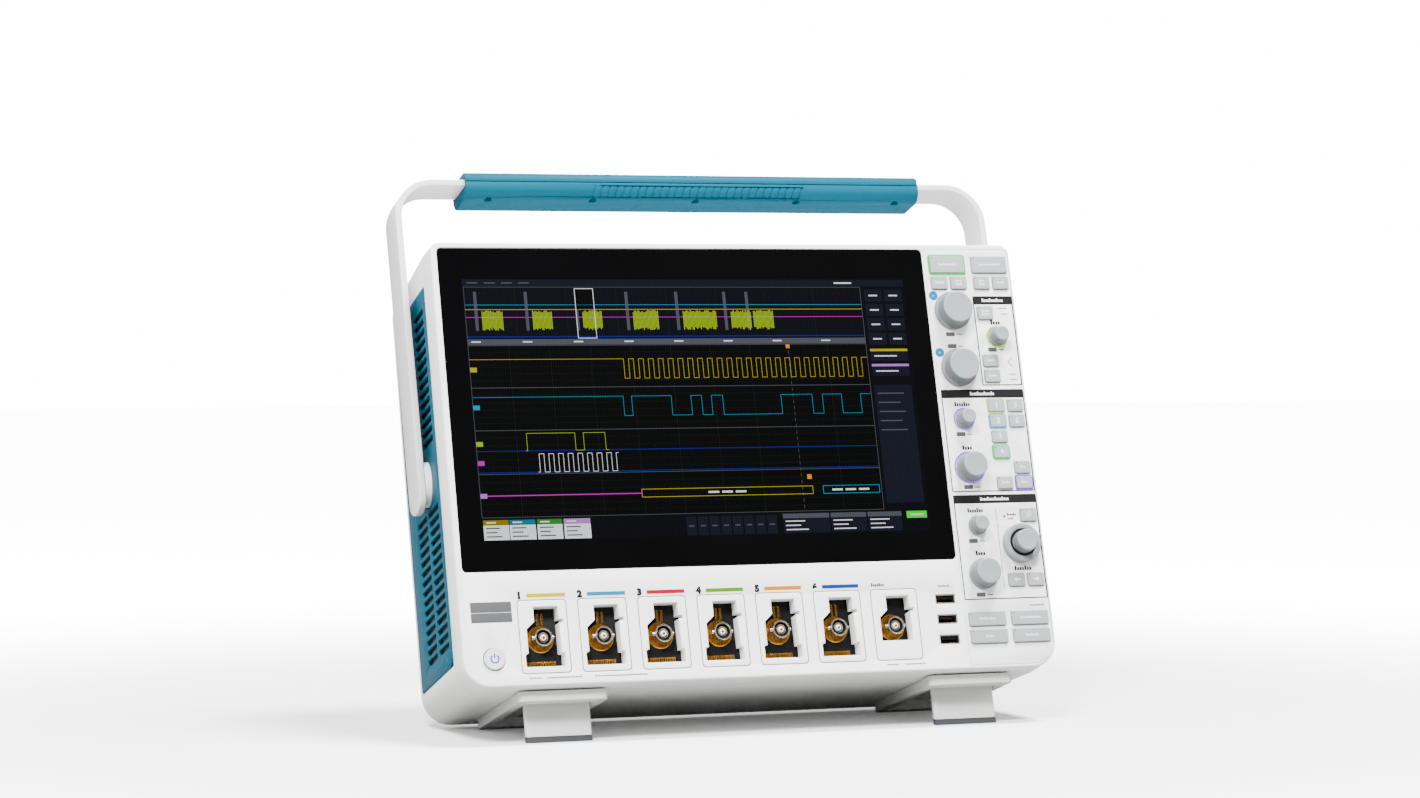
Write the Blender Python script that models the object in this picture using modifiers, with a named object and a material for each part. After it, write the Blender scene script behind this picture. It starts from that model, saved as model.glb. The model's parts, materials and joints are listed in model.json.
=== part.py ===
"""Portable six-channel bench oscilloscope, standing tilted back on its two flip-down front legs.

Every case part is placed in the case's own upright frame and hangs from the case_frame empty,
which tilts it back: +X right, +Y from the front panel towards the back, +Z up, zero at the middle
of the front panel's bottom edge.
The origin of the whole model is under the middle of its bounding box, on the surface that it stands on.
Lengths are in metres; numbers written as N * MM are millimetres.
"""

import math

import bmesh
import bpy
from mathutils import Matrix, Vector

MM = 0.001
GAP = 0.3 * MM

# Case, in its upright frame
FACE_WIDTH = 389.5 * MM
FACE_HEIGHT = 279 * MM
HALF_WIDTH = FACE_WIDTH / 2
BEZEL_WALL = 2.4 * MM
COVER_WALL = 3.5 * MM
BEZEL_DEPTH = 21 * MM
SIDE_END = 118 * MM
CASE_DEPTH = 133 * MM
CASE_SAG = 1.5 * MM
SIDE_DRAFT = 5.5 * MM
BUMPER_DEPTH = 10 * MM

# Display
GLASS_SIZE = (323.2 * MM, 204.5 * MM, 2 * MM)
GLASS_CENTRE = (-29 * MM, 173 * MM)
GLASS_CORNER = 3 * MM
MODULE_SIZE = (311 * MM, 10 * MM, 194 * MM)

# Signal inputs and front sockets
INPUT_COUNT = 7
INPUT_PITCH = 38.35 * MM
FIRST_INPUT_X = -142.9 * MM
INPUT_Z = 29.7 * MM
INPUT_BACK = 9.5 * MM
BARREL_RADIUS = 5.8 * MM
USB_X = 122.2 * MM
USB_HEIGHTS = (45.2 * MM, 32.3 * MM, 19.3 * MM)
USB_SLOT = (13.2 * MM, 12 * MM, 5.6 * MM)

# Feet: fixed rails under the case and legs that flip down out of them
RAIL_CENTRES = {"left": -131.2 * MM, "right": 137.2 * MM}
RAIL_WIDTH = 56.4 * MM
RAIL_FRONT = 8 * MM
RAIL_BACK = 106 * MM
RAIL_TOP = -(CASE_SAG + GAP)
RAIL_BOTTOM = -8 * MM
RAIL_WINDOW_WIDTH = 43.5 * MM
RAIL_WINDOW = (19.5 * MM, 98 * MM)
LEG_WIDTH = 42 * MM
LEG_THICKNESS = 5 * MM
LEG_PIVOT = (26 * MM, -5.2 * MM)
LEG_PIN_RADIUS = 1.5 * MM
LEG_FOOT_Z = -31 * MM
PAD_THICKNESS = 3.8 * MM
LEG_FRONT = LEG_PIVOT[0] - LEG_THICKNESS / 2

# The case leans back on the legs' front edge and the rails' back edge
TILT = math.atan2(RAIL_BOTTOM - LEG_FOOT_Z, RAIL_BACK - LEG_FRONT)

# Handle, in a frame on its pivot axis
HANDLE_PIVOT = (54 * MM, 138 * MM)
HANDLE_LEAN = math.radians(2)
STRAP_THICKNESS = 4.2 * MM
STRAP_WIDTH = 27 * MM
STRAP_HALF_SPAN = 200.3 * MM
STRAP_TOP = 195.2 * MM
STRAP_END = -19 * MM
STRAP_BEND = 24 * MM
GRIP_LENGTH = 311 * MM
GRIP_DEPTH = 33 * MM
GRIP_RISE = 7 * MM
GRIP_DROP = 10.6 * MM
PIVOT_BOSS_RADIUS = 14 * MM
PIVOT_PIN_RADIUS = 5 * MM

# Vent panels
VENT_SPAN_Y = (21.6 * MM, 117.4 * MM)
VENT_SPAN_Z = (18 * MM, 256.5 * MM)
VENT_THICKNESS = 2.3 * MM
VENT_RECESS = 2 * MM
VENT_ROWS = 14
VENT_SLOT = (31 * MM, 7 * MM)

# Front panel keys: centre x, centre z, width, height
KEY_PROUD = 1.5 * MM
KEY_TRAVEL = 1.2 * MM
RIGHT_COLUMN = 185.8 * MM
LEFT_COLUMN = 172.5 * MM
KEYS = {
    "key_run_stop": (149.5 * MM, 265 * MM, 23.5 * MM, 11 * MM),
    "key_single": (179 * MM, 265 * MM, 24.5 * MM, 11 * MM),
    "key_cursors": (142.8 * MM, 252.8 * MM, 11 * MM, 8.5 * MM),
    "key_fast_acquisition": (156.2 * MM, 252.8 * MM, 11 * MM, 8.5 * MM),
    "key_high_resolution": (LEFT_COLUMN, 252.8 * MM, 10.8 * MM, 8.5 * MM),
    "key_clear": (RIGHT_COLUMN, 252.8 * MM, 10.8 * MM, 8.5 * MM),
    "key_force_trigger": (LEFT_COLUMN, 232.5 * MM, 10.5 * MM, 8.8 * MM),
    "key_slope": (LEFT_COLUMN, 200.5 * MM, 10.5 * MM, 8 * MM),
    "key_trigger_mode": (LEFT_COLUMN, 190.2 * MM, 10.5 * MM, 8.2 * MM),
    "key_channel_1": (LEFT_COLUMN, 170.5 * MM, 10.5 * MM, 8 * MM),
    "key_channel_2": (LEFT_COLUMN, 160.2 * MM, 10.5 * MM, 8 * MM),
    "key_channel_3": (LEFT_COLUMN, 150 * MM, 10.5 * MM, 8 * MM),
    "key_channel_4": (LEFT_COLUMN, 139.7 * MM, 10.5 * MM, 8 * MM),
    "key_channel_5": (RIGHT_COLUMN, 170.5 * MM, 10.5 * MM, 8 * MM),
    "key_channel_6": (RIGHT_COLUMN, 160.2 * MM, 10.5 * MM, 8 * MM),
    "key_reference": (RIGHT_COLUMN, 129.5 * MM, 10.5 * MM, 8 * MM),
    "key_math": (LEFT_COLUMN, 119.5 * MM, 10.5 * MM, 8 * MM),
    "key_bus": (RIGHT_COLUMN, 119.5 * MM, 10.5 * MM, 8 * MM),
    "key_zoom": (RIGHT_COLUMN, 98.2 * MM, 11 * MM, 8.5 * MM),
    "key_navigate_left": (LEFT_COLUMN, 56.2 * MM, 11 * MM, 8.5 * MM),
    "key_navigate_right": (RIGHT_COLUMN, 56.2 * MM, 11 * MM, 8.5 * MM),
    "key_touch_off": (149.2 * MM, 31.5 * MM, 25 * MM, 8.8 * MM),
    "key_default_setup": (178.5 * MM, 31.5 * MM, 25.2 * MM, 8.8 * MM),
    "key_save": (149.2 * MM, 20.2 * MM, 25 * MM, 8.6 * MM),
    "key_autoset": (178.5 * MM, 20.2 * MM, 25.2 * MM, 8.6 * MM),
}
POWER_KEY = (-175.2 * MM, 17 * MM, 6.5 * MM)

# Knobs: centre x, centre z, skirt radius, cap radius, height
KNOBS = {
    "knob_multipurpose_a": (149.7 * MM, 234 * MM, 12.5 * MM, 10.2 * MM, 11 * MM),
    "knob_multipurpose_b": (149.7 * MM, 196 * MM, 12.5 * MM, 10.2 * MM, 11 * MM),
    "knob_trigger_level": (179.2 * MM, 216.5 * MM, 6.3 * MM, 4.8 * MM, 9.5 * MM),
    "knob_vertical_position": (149.3 * MM, 162 * MM, 6.3 * MM, 4.8 * MM, 9.5 * MM),
    "knob_vertical_scale": (149.3 * MM, 130 * MM, 9.6 * MM, 8.2 * MM, 11 * MM),
    "knob_horizontal_position": (149.7 * MM, 92 * MM, 6.3 * MM, 4.8 * MM, 9.5 * MM),
    "knob_horizontal_scale": (150 * MM, 60.5 * MM, 9.8 * MM, 8.2 * MM, 11 * MM),
    "knob_zoom": (178.2 * MM, 79.5 * MM, 7.2 * MM, 7 * MM, 12.5 * MM),
}
PAN_RING = (12.5 * MM, 7.8 * MM, 5 * MM)
SHAFT_RADIUS = 3 * MM
SHAFT_DEPTH = 7.4 * MM

# Rear sockets
REAR_WINDOW = (-150 * MM, 20 * MM, 24 * MM, 60 * MM)
REAR_SOCKETS = (
    (16 * MM, 13 * MM),
    (12 * MM, 11 * MM),
    (13.2 * MM, 6 * MM),
    (13.2 * MM, 6 * MM),
    (15 * MM, 6 * MM),
)
REAR_SOCKET_PITCH = 26 * MM
INLET_CENTRE = (90 * MM, 42 * MM)
INLET_SIZE = (50 * MM, 22 * MM, 28 * MM)
INLET_SOCKET = (25 * MM, 17 * MM)
VESA_PITCH = 100 * MM
VESA_HOLE_RADIUS = 2.2 * MM
VESA_CENTRE = (0, 160 * MM)

# Cooling fan, blowing out through the right-hand vents
FAN_CENTRE = (166 * MM, 72 * MM, 196 * MM)
FAN_SIDE = 80 * MM
FAN_THICKNESS = 25 * MM


def empty_scene():
    for item in list(bpy.data.objects):
        bpy.data.objects.remove(item)


def new_collection(name):
    collection = bpy.data.collections.new(name)
    bpy.context.scene.collection.children.link(collection)
    return collection


empty_scene()
PARTS = new_collection("oscilloscope")
CUTTERS = new_collection("cutters")


def material(name, colour, roughness, metallic=0.0):
    made = bpy.data.materials.new(name)
    made.use_nodes = True
    shader = made.node_tree.nodes["Principled BSDF"]
    shader.inputs["Base Color"].default_value = (*colour, 1)
    shader.inputs["Roughness"].default_value = roughness
    shader.inputs["Metallic"].default_value = metallic
    return made


WHITE_CASE = material("white_case", (0.86, 0.86, 0.85), 0.45)
BLUE_TRIM = material("blue_trim", (0.02, 0.33, 0.50), 0.4)
BLACK_GLASS = material("black_glass", (0.004, 0.004, 0.005), 0.06)
KEY_GREY = material("key_grey", (0.50, 0.54, 0.55), 0.5)
KNOB_GREY = material("knob_grey", (0.45, 0.48, 0.50), 0.5)
LIGHT_GREY = material("light_grey", (0.74, 0.74, 0.73), 0.45)
PAD_RUBBER = material("pad_rubber", (0.10, 0.11, 0.12), 0.8)
BRASS = material("brass_contacts", (0.62, 0.42, 0.14), 0.3, 1.0)
STEEL = material("sheet_steel", (0.60, 0.61, 0.62), 0.35, 1.0)
BOARD_GREEN = material("board_green", (0.02, 0.18, 0.09), 0.5)
BLACK_PLASTIC = material("black_plastic", (0.02, 0.02, 0.02), 0.5)


def new_empty(name, parent=None, location=(0, 0, 0), rotation=(0, 0, 0)):
    made = bpy.data.objects.new(name, None)
    bpy.context.scene.collection.objects.link(made)
    made.parent = parent
    made.location = location
    made.rotation_euler = rotation
    return made


MODEL = new_empty("model")
CASE = new_empty("case_frame", MODEL, rotation=(-TILT, 0, 0))
HANDLE = new_empty(
    "handle_pivot", CASE, (0, *HANDLE_PIVOT), (-HANDLE_LEAN, 0, 0)
)


def place(
    name, mesh, surface, parent=CASE, location=(0, 0, 0), rotation=(0, 0, 0), collection=PARTS
):
    made = bpy.data.objects.new(name, mesh)
    collection.objects.link(made)
    made.parent = parent
    made.location = location
    made.rotation_euler = rotation
    if surface:
        mesh.materials.append(surface)
    return made


def mesh_from(bm, name):
    bmesh.ops.recalc_face_normals(bm, faces=bm.faces)
    mesh = bpy.data.meshes.new(name)
    bm.to_mesh(mesh)
    bm.free()
    return mesh


def add_box(bm, low, high, bevel=0.0, segments=1):
    """A box from its lowest to its highest corner, its edges rounded by bevel."""
    low = Vector(low)
    high = Vector(high)
    size = high - low
    matrix = Matrix.Translation((low + high) / 2) @ Matrix.Diagonal((*size, 1))
    made = bmesh.ops.create_cube(bm, size=1, matrix=matrix)
    if bevel:
        edges = {edge for vertex in made["verts"] for edge in vertex.link_edges}
        bmesh.ops.bevel(
            bm, geom=list(edges), offset=bevel, segments=segments, affect="EDGES", profile=0.5
        )


def box_mesh(name, low, high, bevel=0.0, segments=1):
    bm = bmesh.new()
    add_box(bm, low, high, bevel, segments)
    return mesh_from(bm, name)


def boxes_mesh(name, boxes):
    bm = bmesh.new()
    for low, high in boxes:
        add_box(bm, low, high)
    return mesh_from(bm, name)


def add_cylinder(bm, radius, start, end, segments=24):
    """A closed cylinder between two points."""
    start = Vector(start)
    end = Vector(end)
    axis = end - start
    turn = axis.to_track_quat("Z", "Y").to_matrix().to_4x4()
    bmesh.ops.create_cone(
        bm,
        cap_ends=True,
        segments=segments,
        radius1=radius,
        radius2=radius,
        depth=axis.length,
        matrix=Matrix.Translation((start + end) / 2) @ turn,
    )


def cylinder_mesh(name, radius, start, end, segments=24):
    bm = bmesh.new()
    add_cylinder(bm, radius, start, end, segments)
    return mesh_from(bm, name)


def cylinders_mesh(name, cylinders, segments=16):
    """One mesh of separate cylinders, each (radius, start, end)."""
    bm = bmesh.new()
    for radius, start, end in cylinders:
        add_cylinder(bm, radius, start, end, segments)
    return mesh_from(bm, name)


def outline_mesh(name, points, thickness):
    """A flat outline in local XY, given thickness along local Z, half to each side."""
    curve = bpy.data.curves.new(name, "CURVE")
    curve.dimensions = "2D"
    curve.fill_mode = "BOTH"
    curve.extrude = thickness / 2
    spline = curve.splines.new("POLY")
    spline.points.add(len(points) - 1)
    for point, (across, up) in zip(spline.points, points):
        point.co = (across, up, 0, 1)
    spline.use_cyclic_u = True
    drawn = bpy.data.objects.new(name, curve)
    CUTTERS.objects.link(drawn)
    bpy.context.view_layer.update()
    evaluated = drawn.evaluated_get(bpy.context.evaluated_depsgraph_get())
    mesh = bpy.data.meshes.new_from_object(evaluated)
    bpy.data.objects.remove(drawn)
    bm = bmesh.new()
    bm.from_mesh(mesh)
    bmesh.ops.remove_doubles(bm, verts=bm.verts, dist=1e-6)
    bmesh.ops.recalc_face_normals(bm, faces=bm.faces)
    bm.to_mesh(mesh)
    bm.free()
    return mesh


FACING_FRONT = (math.pi / 2, 0, 0)
FACING_SIDE = (math.pi / 2, 0, math.pi / 2)


def operate(target, tool, operation):
    modifier = target.modifiers.new(operation.lower(), "BOOLEAN")
    modifier.operation = operation
    modifier.solver = "EXACT"
    modifier.object = tool
    tool.hide_render = True
    tool.display_type = "WIRE"


def cut(target, mesh, **where):
    operate(target, place(target.name + "_cutter", mesh, None, collection=CUTTERS, **where), "DIFFERENCE")


def join(target, mesh, **where):
    operate(target, place(target.name + "_addition", mesh, None, collection=CUTTERS, **where), "UNION")


def solidify(target, thickness):
    modifier = target.modifiers.new("shell", "SOLIDIFY")
    modifier.thickness = thickness
    modifier.offset = -1
    modifier.use_even_offset = True


def turned(name, profile, surface, location, parent=CASE, steps=20):
    """A body turned about local Z from (radius, height) points, top to bottom down the outside.
    A ring's profile ends at its first point."""
    mesh = bpy.data.meshes.new(name)
    closed = profile[0] == profile[-1]
    vertices = [(radius, 0, height) for radius, height in profile]
    edges = [(i, i + 1) for i in range(len(vertices) - 1)]
    if closed:
        vertices.pop()
        edges[-1] = (len(vertices) - 1, 0)
    mesh.from_pydata(vertices, edges, [])
    made = place(name, mesh, surface, parent, location, FACING_FRONT)
    screw = made.modifiers.new("turn", "SCREW")
    screw.axis = "Z"
    screw.steps = steps
    screw.render_steps = steps
    screw.use_merge_vertices = True
    screw.merge_threshold = 0.00001
    screw.use_smooth_shade = True
    return made


def arc(centre, radius, start, end, segments):
    """Points of an arc from start to end, in degrees."""
    points = []
    for i in range(segments + 1):
        angle = math.radians(start + (end - start) * i / segments)
        points.append((centre[0] + radius * math.cos(angle), centre[1] + radius * math.sin(angle)))
    return points


def rounded_rectangle(low_x, high_x, low_z, high_z, top_radius, bottom_radius, segments=4):
    """Outline points, anticlockwise from the bottom left corner."""
    bottom = low_z + bottom_radius
    top = high_z - top_radius
    return (
        arc((low_x + bottom_radius, bottom), bottom_radius, 180, 270, segments)
        + arc((high_x - bottom_radius, bottom), bottom_radius, 270, 360, segments)
        + arc((high_x - top_radius, top), top_radius, 0, 90, segments)
        + arc((low_x + top_radius, top), top_radius, 90, 180, segments)
    )


def case_section(depth, inset, top_radius, bottom_radius, sag=0.0, rise=0.0):
    """The case's outline at a depth, inset all round, then let down by sag and raised by rise."""
    half = HALF_WIDTH - inset
    outline = rounded_rectangle(
        -half, half, inset - sag, FACE_HEIGHT - inset + rise, top_radius, bottom_radius
    )
    return [(x, depth, z) for x, z in outline]


def loft_mesh(name, sections):
    """A skin through sections with equal numbers of points, closed at the last one."""
    bm = bmesh.new()
    rings = [[bm.verts.new(point) for point in section] for section in sections]
    count = len(rings[0])
    for near, far in zip(rings, rings[1:]):
        for i in range(count):
            j = (i + 1) % count
            bm.faces.new((near[i], near[j], far[j], far[i]))
    bm.faces.new(rings[-1])
    return mesh_from(bm, name)


def lofted_shell(name, sections, wall):
    made = place(name, loft_mesh(name, sections), WHITE_CASE)
    solidify(made, wall)
    return made


def input_positions():
    return [FIRST_INPUT_X + i * INPUT_PITCH for i in range(INPUT_COUNT)]


def knob_holes():
    """Centre x, centre z and radius of the hole for every knob's shaft or sleeve."""
    holes = []
    for name, knob in KNOBS.items():
        sleeve = PAN_RING[1] if name == "knob_zoom" else SHAFT_RADIUS
        holes.append((knob[0], knob[1], sleeve + 0.4 * MM))
    return holes


def build_bezel():
    """Front frame: window for the glass, holes for keys, knob shafts, inputs and USB sockets."""
    sections = [
        case_section(BEZEL_DEPTH, 0, 6 * MM, 17 * MM, CASE_SAG),
        case_section(1.2 * MM, 0, 5 * MM, 16 * MM),
        case_section(0, 1 * MM, 4 * MM, 15 * MM),
    ]
    bezel = lofted_shell("front_bezel", sections, BEZEL_WALL)
    half_x = GLASS_SIZE[0] / 2 + GAP
    half_z = GLASS_SIZE[1] / 2 + GAP
    window = rounded_rectangle(
        GLASS_CENTRE[0] - half_x,
        GLASS_CENTRE[0] + half_x,
        GLASS_CENTRE[1] - half_z,
        GLASS_CENTRE[1] + half_z,
        GLASS_CORNER,
        GLASS_CORNER,
        3,
    )
    cut(bezel, outline_mesh("glass_window", window, 4 * BEZEL_WALL), rotation=FACING_FRONT)
    clearance = 0.35 * MM
    holes = []
    for x, z, width, height in KEYS.values():
        half = Vector((width / 2 + clearance, 2 * BEZEL_WALL, height / 2 + clearance))
        centre = Vector((x, 0, z))
        holes.append((centre - half, centre + half))
    for z in USB_HEIGHTS:
        half = Vector((USB_SLOT[0] / 2 + GAP, 2 * BEZEL_WALL, USB_SLOT[2] / 2 + GAP))
        centre = Vector((USB_X, 0, z))
        holes.append((centre - half, centre + half))
    cut(bezel, boxes_mesh("key_holes", holes))
    shafts = [
        (radius, (x, -BEZEL_WALL, z), (x, 2 * BEZEL_WALL, z)) for x, z, radius in knob_holes()
    ]
    x, z, radius = POWER_KEY
    shafts.append((radius + clearance, (x, -BEZEL_WALL, z), (x, 2 * BEZEL_WALL, z)))
    cut(bezel, cylinders_mesh("shaft_holes", shafts, 20))
    for i, x in enumerate(input_positions()):
        cut(
            bezel,
            outline_mesh("input_cutout", input_outline(i == INPUT_COUNT - 1), 4 * BEZEL_WALL),
            location=(x, 0, INPUT_Z),
            rotation=FACING_FRONT,
        )
    return bezel


def input_outline(auxiliary):
    """Opening round one input, about the connector's axis: a neck, a sloping shoulder and, on the
    probe channels, a wider base for the probe's contact row."""
    neck = (-5.5 * MM, 10 * MM, 18.8 * MM)
    body = (-10.6 * MM, 10.4 * MM, -9.8 * MM)
    base = (-12.6 * MM, 12.4 * MM, -18.2 * MM)
    points = [(neck[0], neck[2]), (neck[0], 9.5 * MM), (body[0], 5 * MM), (body[0], body[2])]
    if auxiliary:
        points.append((body[1], body[2]))
    else:
        points += [(base[0], body[2]), (base[0], base[2]), (base[1], base[2]), (base[1], body[2])]
        points.append((body[1], body[2]))
    points += [(body[1], 9 * MM), (neck[1], 9.5 * MM), (neck[1], neck[2])]
    return list(reversed(points))


def side_angle():
    return math.atan2(SIDE_DRAFT, SIDE_END - BEZEL_DEPTH)


def side_x(depth):
    """Half width of the case at a depth along its drafted sides."""
    return HALF_WIDTH - (depth - BEZEL_DEPTH) * SIDE_DRAFT / (SIDE_END - BEZEL_DEPTH)


def place_on_side(name, mesh, surface, side, collection=PARTS):
    """Places a mesh drawn for the right side: local X back along the side, local Y up, local Z out.
    On the left side it is mirrored, so that its local Z is out there too."""
    angle = side_angle()
    if side < 0:
        mesh.transform(Matrix.Scale(-1, 4, (1, 0, 0)))
        mesh.flip_normals()
    along = Vector((-math.sin(angle), side * math.cos(angle), 0))
    out = Vector((side * math.cos(angle), math.sin(angle), 0))
    turn = Matrix((along, Vector((0, 0, 1)), out)).transposed()
    location = (side * HALF_WIDTH, BEZEL_DEPTH, 0)
    return place(name, mesh, surface, CASE, location, turn.to_euler(), collection)


def cut_on_side(target, mesh, side):
    cutter = place_on_side(target.name + "_cutter", mesh, None, side, CUTTERS)
    operate(target, cutter, "DIFFERENCE")


def build_rear_cover():
    """Rear shell with drafted sides, vent windows, pivot bosses, rear sockets and bumpers."""
    sections = [
        case_section(BEZEL_DEPTH + GAP, 0, 6 * MM, 17 * MM, CASE_SAG),
        case_section(SIDE_END, SIDE_DRAFT, 10 * MM, 18 * MM, SIDE_DRAFT + CASE_SAG, 4 * MM),
        case_section(SIDE_END + 10 * MM, SIDE_DRAFT + 4 * MM, 12 * MM, 18 * MM, SIDE_DRAFT),
        case_section(CASE_DEPTH, SIDE_DRAFT + 11 * MM, 10 * MM, 14 * MM, SIDE_DRAFT),
    ]
    cover = lofted_shell("rear_cover", sections, COVER_WALL)
    bosses = bmesh.new()
    for side in (-1, 1):
        y, z = HANDLE_PIVOT
        inner = side * (side_x(y) - VENT_RECESS - 0.5 * MM)
        shoulder = side * (STRAP_HALF_SPAN - STRAP_THICKNESS / 2 - 0.35 * MM)
        tip = side * (STRAP_HALF_SPAN - 0.5 * MM)
        add_cylinder(bosses, PIVOT_BOSS_RADIUS, (inner, y, z), (shoulder, y, z), 28)
        add_cylinder(bosses, PIVOT_PIN_RADIUS, (inner, y, z), (tip, y, z), 20)
    boss_mesh = mesh_from(bosses, "pivot_bosses")
    for side in (-1, 1):
        place_y = (VENT_SPAN_Y[0] + VENT_SPAN_Y[1]) / 2 - BEZEL_DEPTH
        place_z = (VENT_SPAN_Z[0] + VENT_SPAN_Z[1]) / 2
        half_y = (VENT_SPAN_Y[1] - VENT_SPAN_Y[0]) / 2 + GAP
        half_z = (VENT_SPAN_Z[1] - VENT_SPAN_Z[0]) / 2 + GAP
        recess = box_mesh(
            "vent_recess",
            (place_y - half_y, place_z - half_z, -VENT_RECESS),
            (place_y + half_y, place_z + half_z, 4 * MM),
        )
        cut_on_side(cover, recess, side)
        edge = 8 * MM
        middle = HANDLE_PIVOT[1]
        windows = boxes_mesh(
            "vent_windows",
            [
                (
                    (place_y - half_y + edge, VENT_SPAN_Z[0] + edge, -8 * MM),
                    (place_y + half_y - edge, middle - 24 * MM, 4 * MM),
                ),
                (
                    (place_y - half_y + edge, middle + 24 * MM, -8 * MM),
                    (place_y + half_y - edge, VENT_SPAN_Z[1] - edge, 4 * MM),
                ),
            ],
        )
        cut_on_side(cover, windows, side)
    join(cover, boss_mesh)
    cover.modifiers[-1].use_self = True
    bumpers = [
        (9 * MM, (x, CASE_DEPTH - 1 * MM, z), (x, CASE_DEPTH + BUMPER_DEPTH, z))
        for x in (-155 * MM, 155 * MM)
        for z in (40 * MM, 244 * MM)
    ]
    join(cover, cylinders_mesh("bumpers", bumpers, 20))
    low_x, high_x, low_z, high_z = REAR_WINDOW
    inlet_x, inlet_z = INLET_CENTRE
    inlet_half_x = INLET_SIZE[0] / 2 + GAP
    inlet_half_z = INLET_SIZE[2] / 2 + GAP
    windows = [
        ((low_x, CASE_DEPTH - 3 * COVER_WALL, low_z), (high_x, CASE_DEPTH + COVER_WALL, high_z)),
        (
            (inlet_x - inlet_half_x, CASE_DEPTH - 3 * COVER_WALL, inlet_z - inlet_half_z),
            (inlet_x + inlet_half_x, CASE_DEPTH + COVER_WALL, inlet_z + inlet_half_z),
        ),
    ]
    cut(cover, boxes_mesh("rear_windows", windows))
    holes = []
    for across in (-1, 1):
        for up in (-1, 1):
            x = VESA_CENTRE[0] + across * VESA_PITCH / 2
            z = VESA_CENTRE[1] + up * VESA_PITCH / 2
            start = (x, CASE_DEPTH - 2 * COVER_WALL, z)
            holes.append((VESA_HOLE_RADIUS, start, (x, CASE_DEPTH + COVER_WALL, z)))
    cut(cover, cylinders_mesh("vesa_holes", holes, 12))
    return cover


def build_vent_panel(name, side):
    """A flat grille plate set into the drafted side of the rear cover."""
    low_y, high_y = (value - BEZEL_DEPTH for value in VENT_SPAN_Y)
    low_z, high_z = VENT_SPAN_Z
    corner = 8 * MM
    outline = (
        arc((low_y + corner, low_z + corner), corner, 180, 270, 5)
        + [(high_y, low_z), (high_y, high_z), (low_y, high_z)]
    )
    thickness = VENT_THICKNESS
    mesh = outline_mesh(name, outline, thickness)
    for vertex in mesh.vertices:
        vertex.co.z += thickness / 2 + GAP - VENT_RECESS
    panel = place_on_side(name, mesh, BLUE_TRIM, side)
    y, z = HANDLE_PIVOT
    inner = (y - BEZEL_DEPTH, z, -4 * MM)
    outer = (y - BEZEL_DEPTH, z, 4 * MM)
    cut_on_side(panel, cylinder_mesh("hub_hole", PIVOT_BOSS_RADIUS + 0.5 * MM, inner, outer, 28), side)
    slots = []
    pitch = (high_z - low_z - 12 * MM) / VENT_ROWS
    for row in range(VENT_ROWS):
        centre = low_z + 6 * MM + (row + 0.5) * pitch
        if abs(centre - z) < PIVOT_BOSS_RADIUS + VENT_SLOT[1]:
            continue
        for column in range(2):
            start = low_y + 11 * MM + column * (VENT_SLOT[0] + 8 * MM)
            slots.append(
                (
                    (start, centre - VENT_SLOT[1] / 2, -4 * MM),
                    (start + VENT_SLOT[0], centre + VENT_SLOT[1] / 2, 4 * MM),
                )
            )
    cut_on_side(panel, boxes_mesh("slots", slots), side)
    return panel


def build_display():
    outline = rounded_rectangle(
        -GLASS_SIZE[0] / 2,
        GLASS_SIZE[0] / 2,
        -GLASS_SIZE[1] / 2,
        GLASS_SIZE[1] / 2,
        GLASS_CORNER,
        GLASS_CORNER,
        3,
    )
    place(
        "touch_glass",
        outline_mesh("touch_glass", outline, GLASS_SIZE[2]),
        BLACK_GLASS,
        location=(GLASS_CENTRE[0], GLASS_SIZE[2] / 2, GLASS_CENTRE[1]),
        rotation=FACING_FRONT,
    )
    half = Vector(MODULE_SIZE) / 2
    module = box_mesh("display_module", -half, half, 1 * MM)
    centre = (GLASS_CENTRE[0], GLASS_SIZE[2] + GAP + half.y, GLASS_CENTRE[1])
    place("display_module", module, STEEL, location=centre)


def build_key(name, x, z, width, height):
    """A cap through the panel with a retaining flange behind it. Local +Y is into the case."""
    bm = bmesh.new()
    half_x = width / 2
    half_z = height / 2
    rear = BEZEL_WALL + 0.35 * MM
    add_box(bm, (-half_x, -KEY_PROUD, -half_z), (half_x, rear, half_z))
    bm.faces.ensure_lookup_table()
    front = min(bm.faces, key=lambda face: face.calc_center_median().y)
    bmesh.ops.bevel(bm, geom=list(front.edges), offset=0.5 * MM, segments=1, affect="EDGES")
    back = max(bm.faces, key=lambda face: face.calc_center_median().y)
    flange = 0.5 * MM
    made = bmesh.ops.extrude_face_region(bm, geom=[back])
    vertices = [item for item in made["geom"] if isinstance(item, bmesh.types.BMVert)]
    bmesh.ops.delete(bm, geom=[back], context="FACES_ONLY")
    growth = Vector(((half_x + flange) / half_x, 1, (half_z + flange) / half_z))
    bmesh.ops.scale(bm, vec=growth, verts=vertices)
    cap = [item for item in made["geom"] if isinstance(item, bmesh.types.BMFace)]
    again = bmesh.ops.extrude_face_region(bm, geom=cap)
    bmesh.ops.delete(bm, geom=cap, context="FACES_ONLY")
    moved = [item for item in again["geom"] if isinstance(item, bmesh.types.BMVert)]
    bmesh.ops.translate(bm, vec=(0, 1 * MM, 0), verts=moved)
    place(name, mesh_from(bm, name), KEY_GREY, location=(x, 0, z))


def build_keys():
    for name, (x, z, width, height) in KEYS.items():
        build_key(name, x, z, width, height)
    x, z, radius = POWER_KEY
    rear = BEZEL_WALL + 0.35 * MM
    profile = [
        (0, KEY_PROUD),
        (radius - 0.5 * MM, KEY_PROUD),
        (radius, KEY_PROUD - 0.5 * MM),
        (radius, -rear),
        (radius + 0.9 * MM, -rear),
        (radius + 0.9 * MM, -rear - 1 * MM),
        (0, -rear - 1 * MM),
    ]
    turned("key_power", profile, LIGHT_GREY, (x, 0, z))


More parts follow.
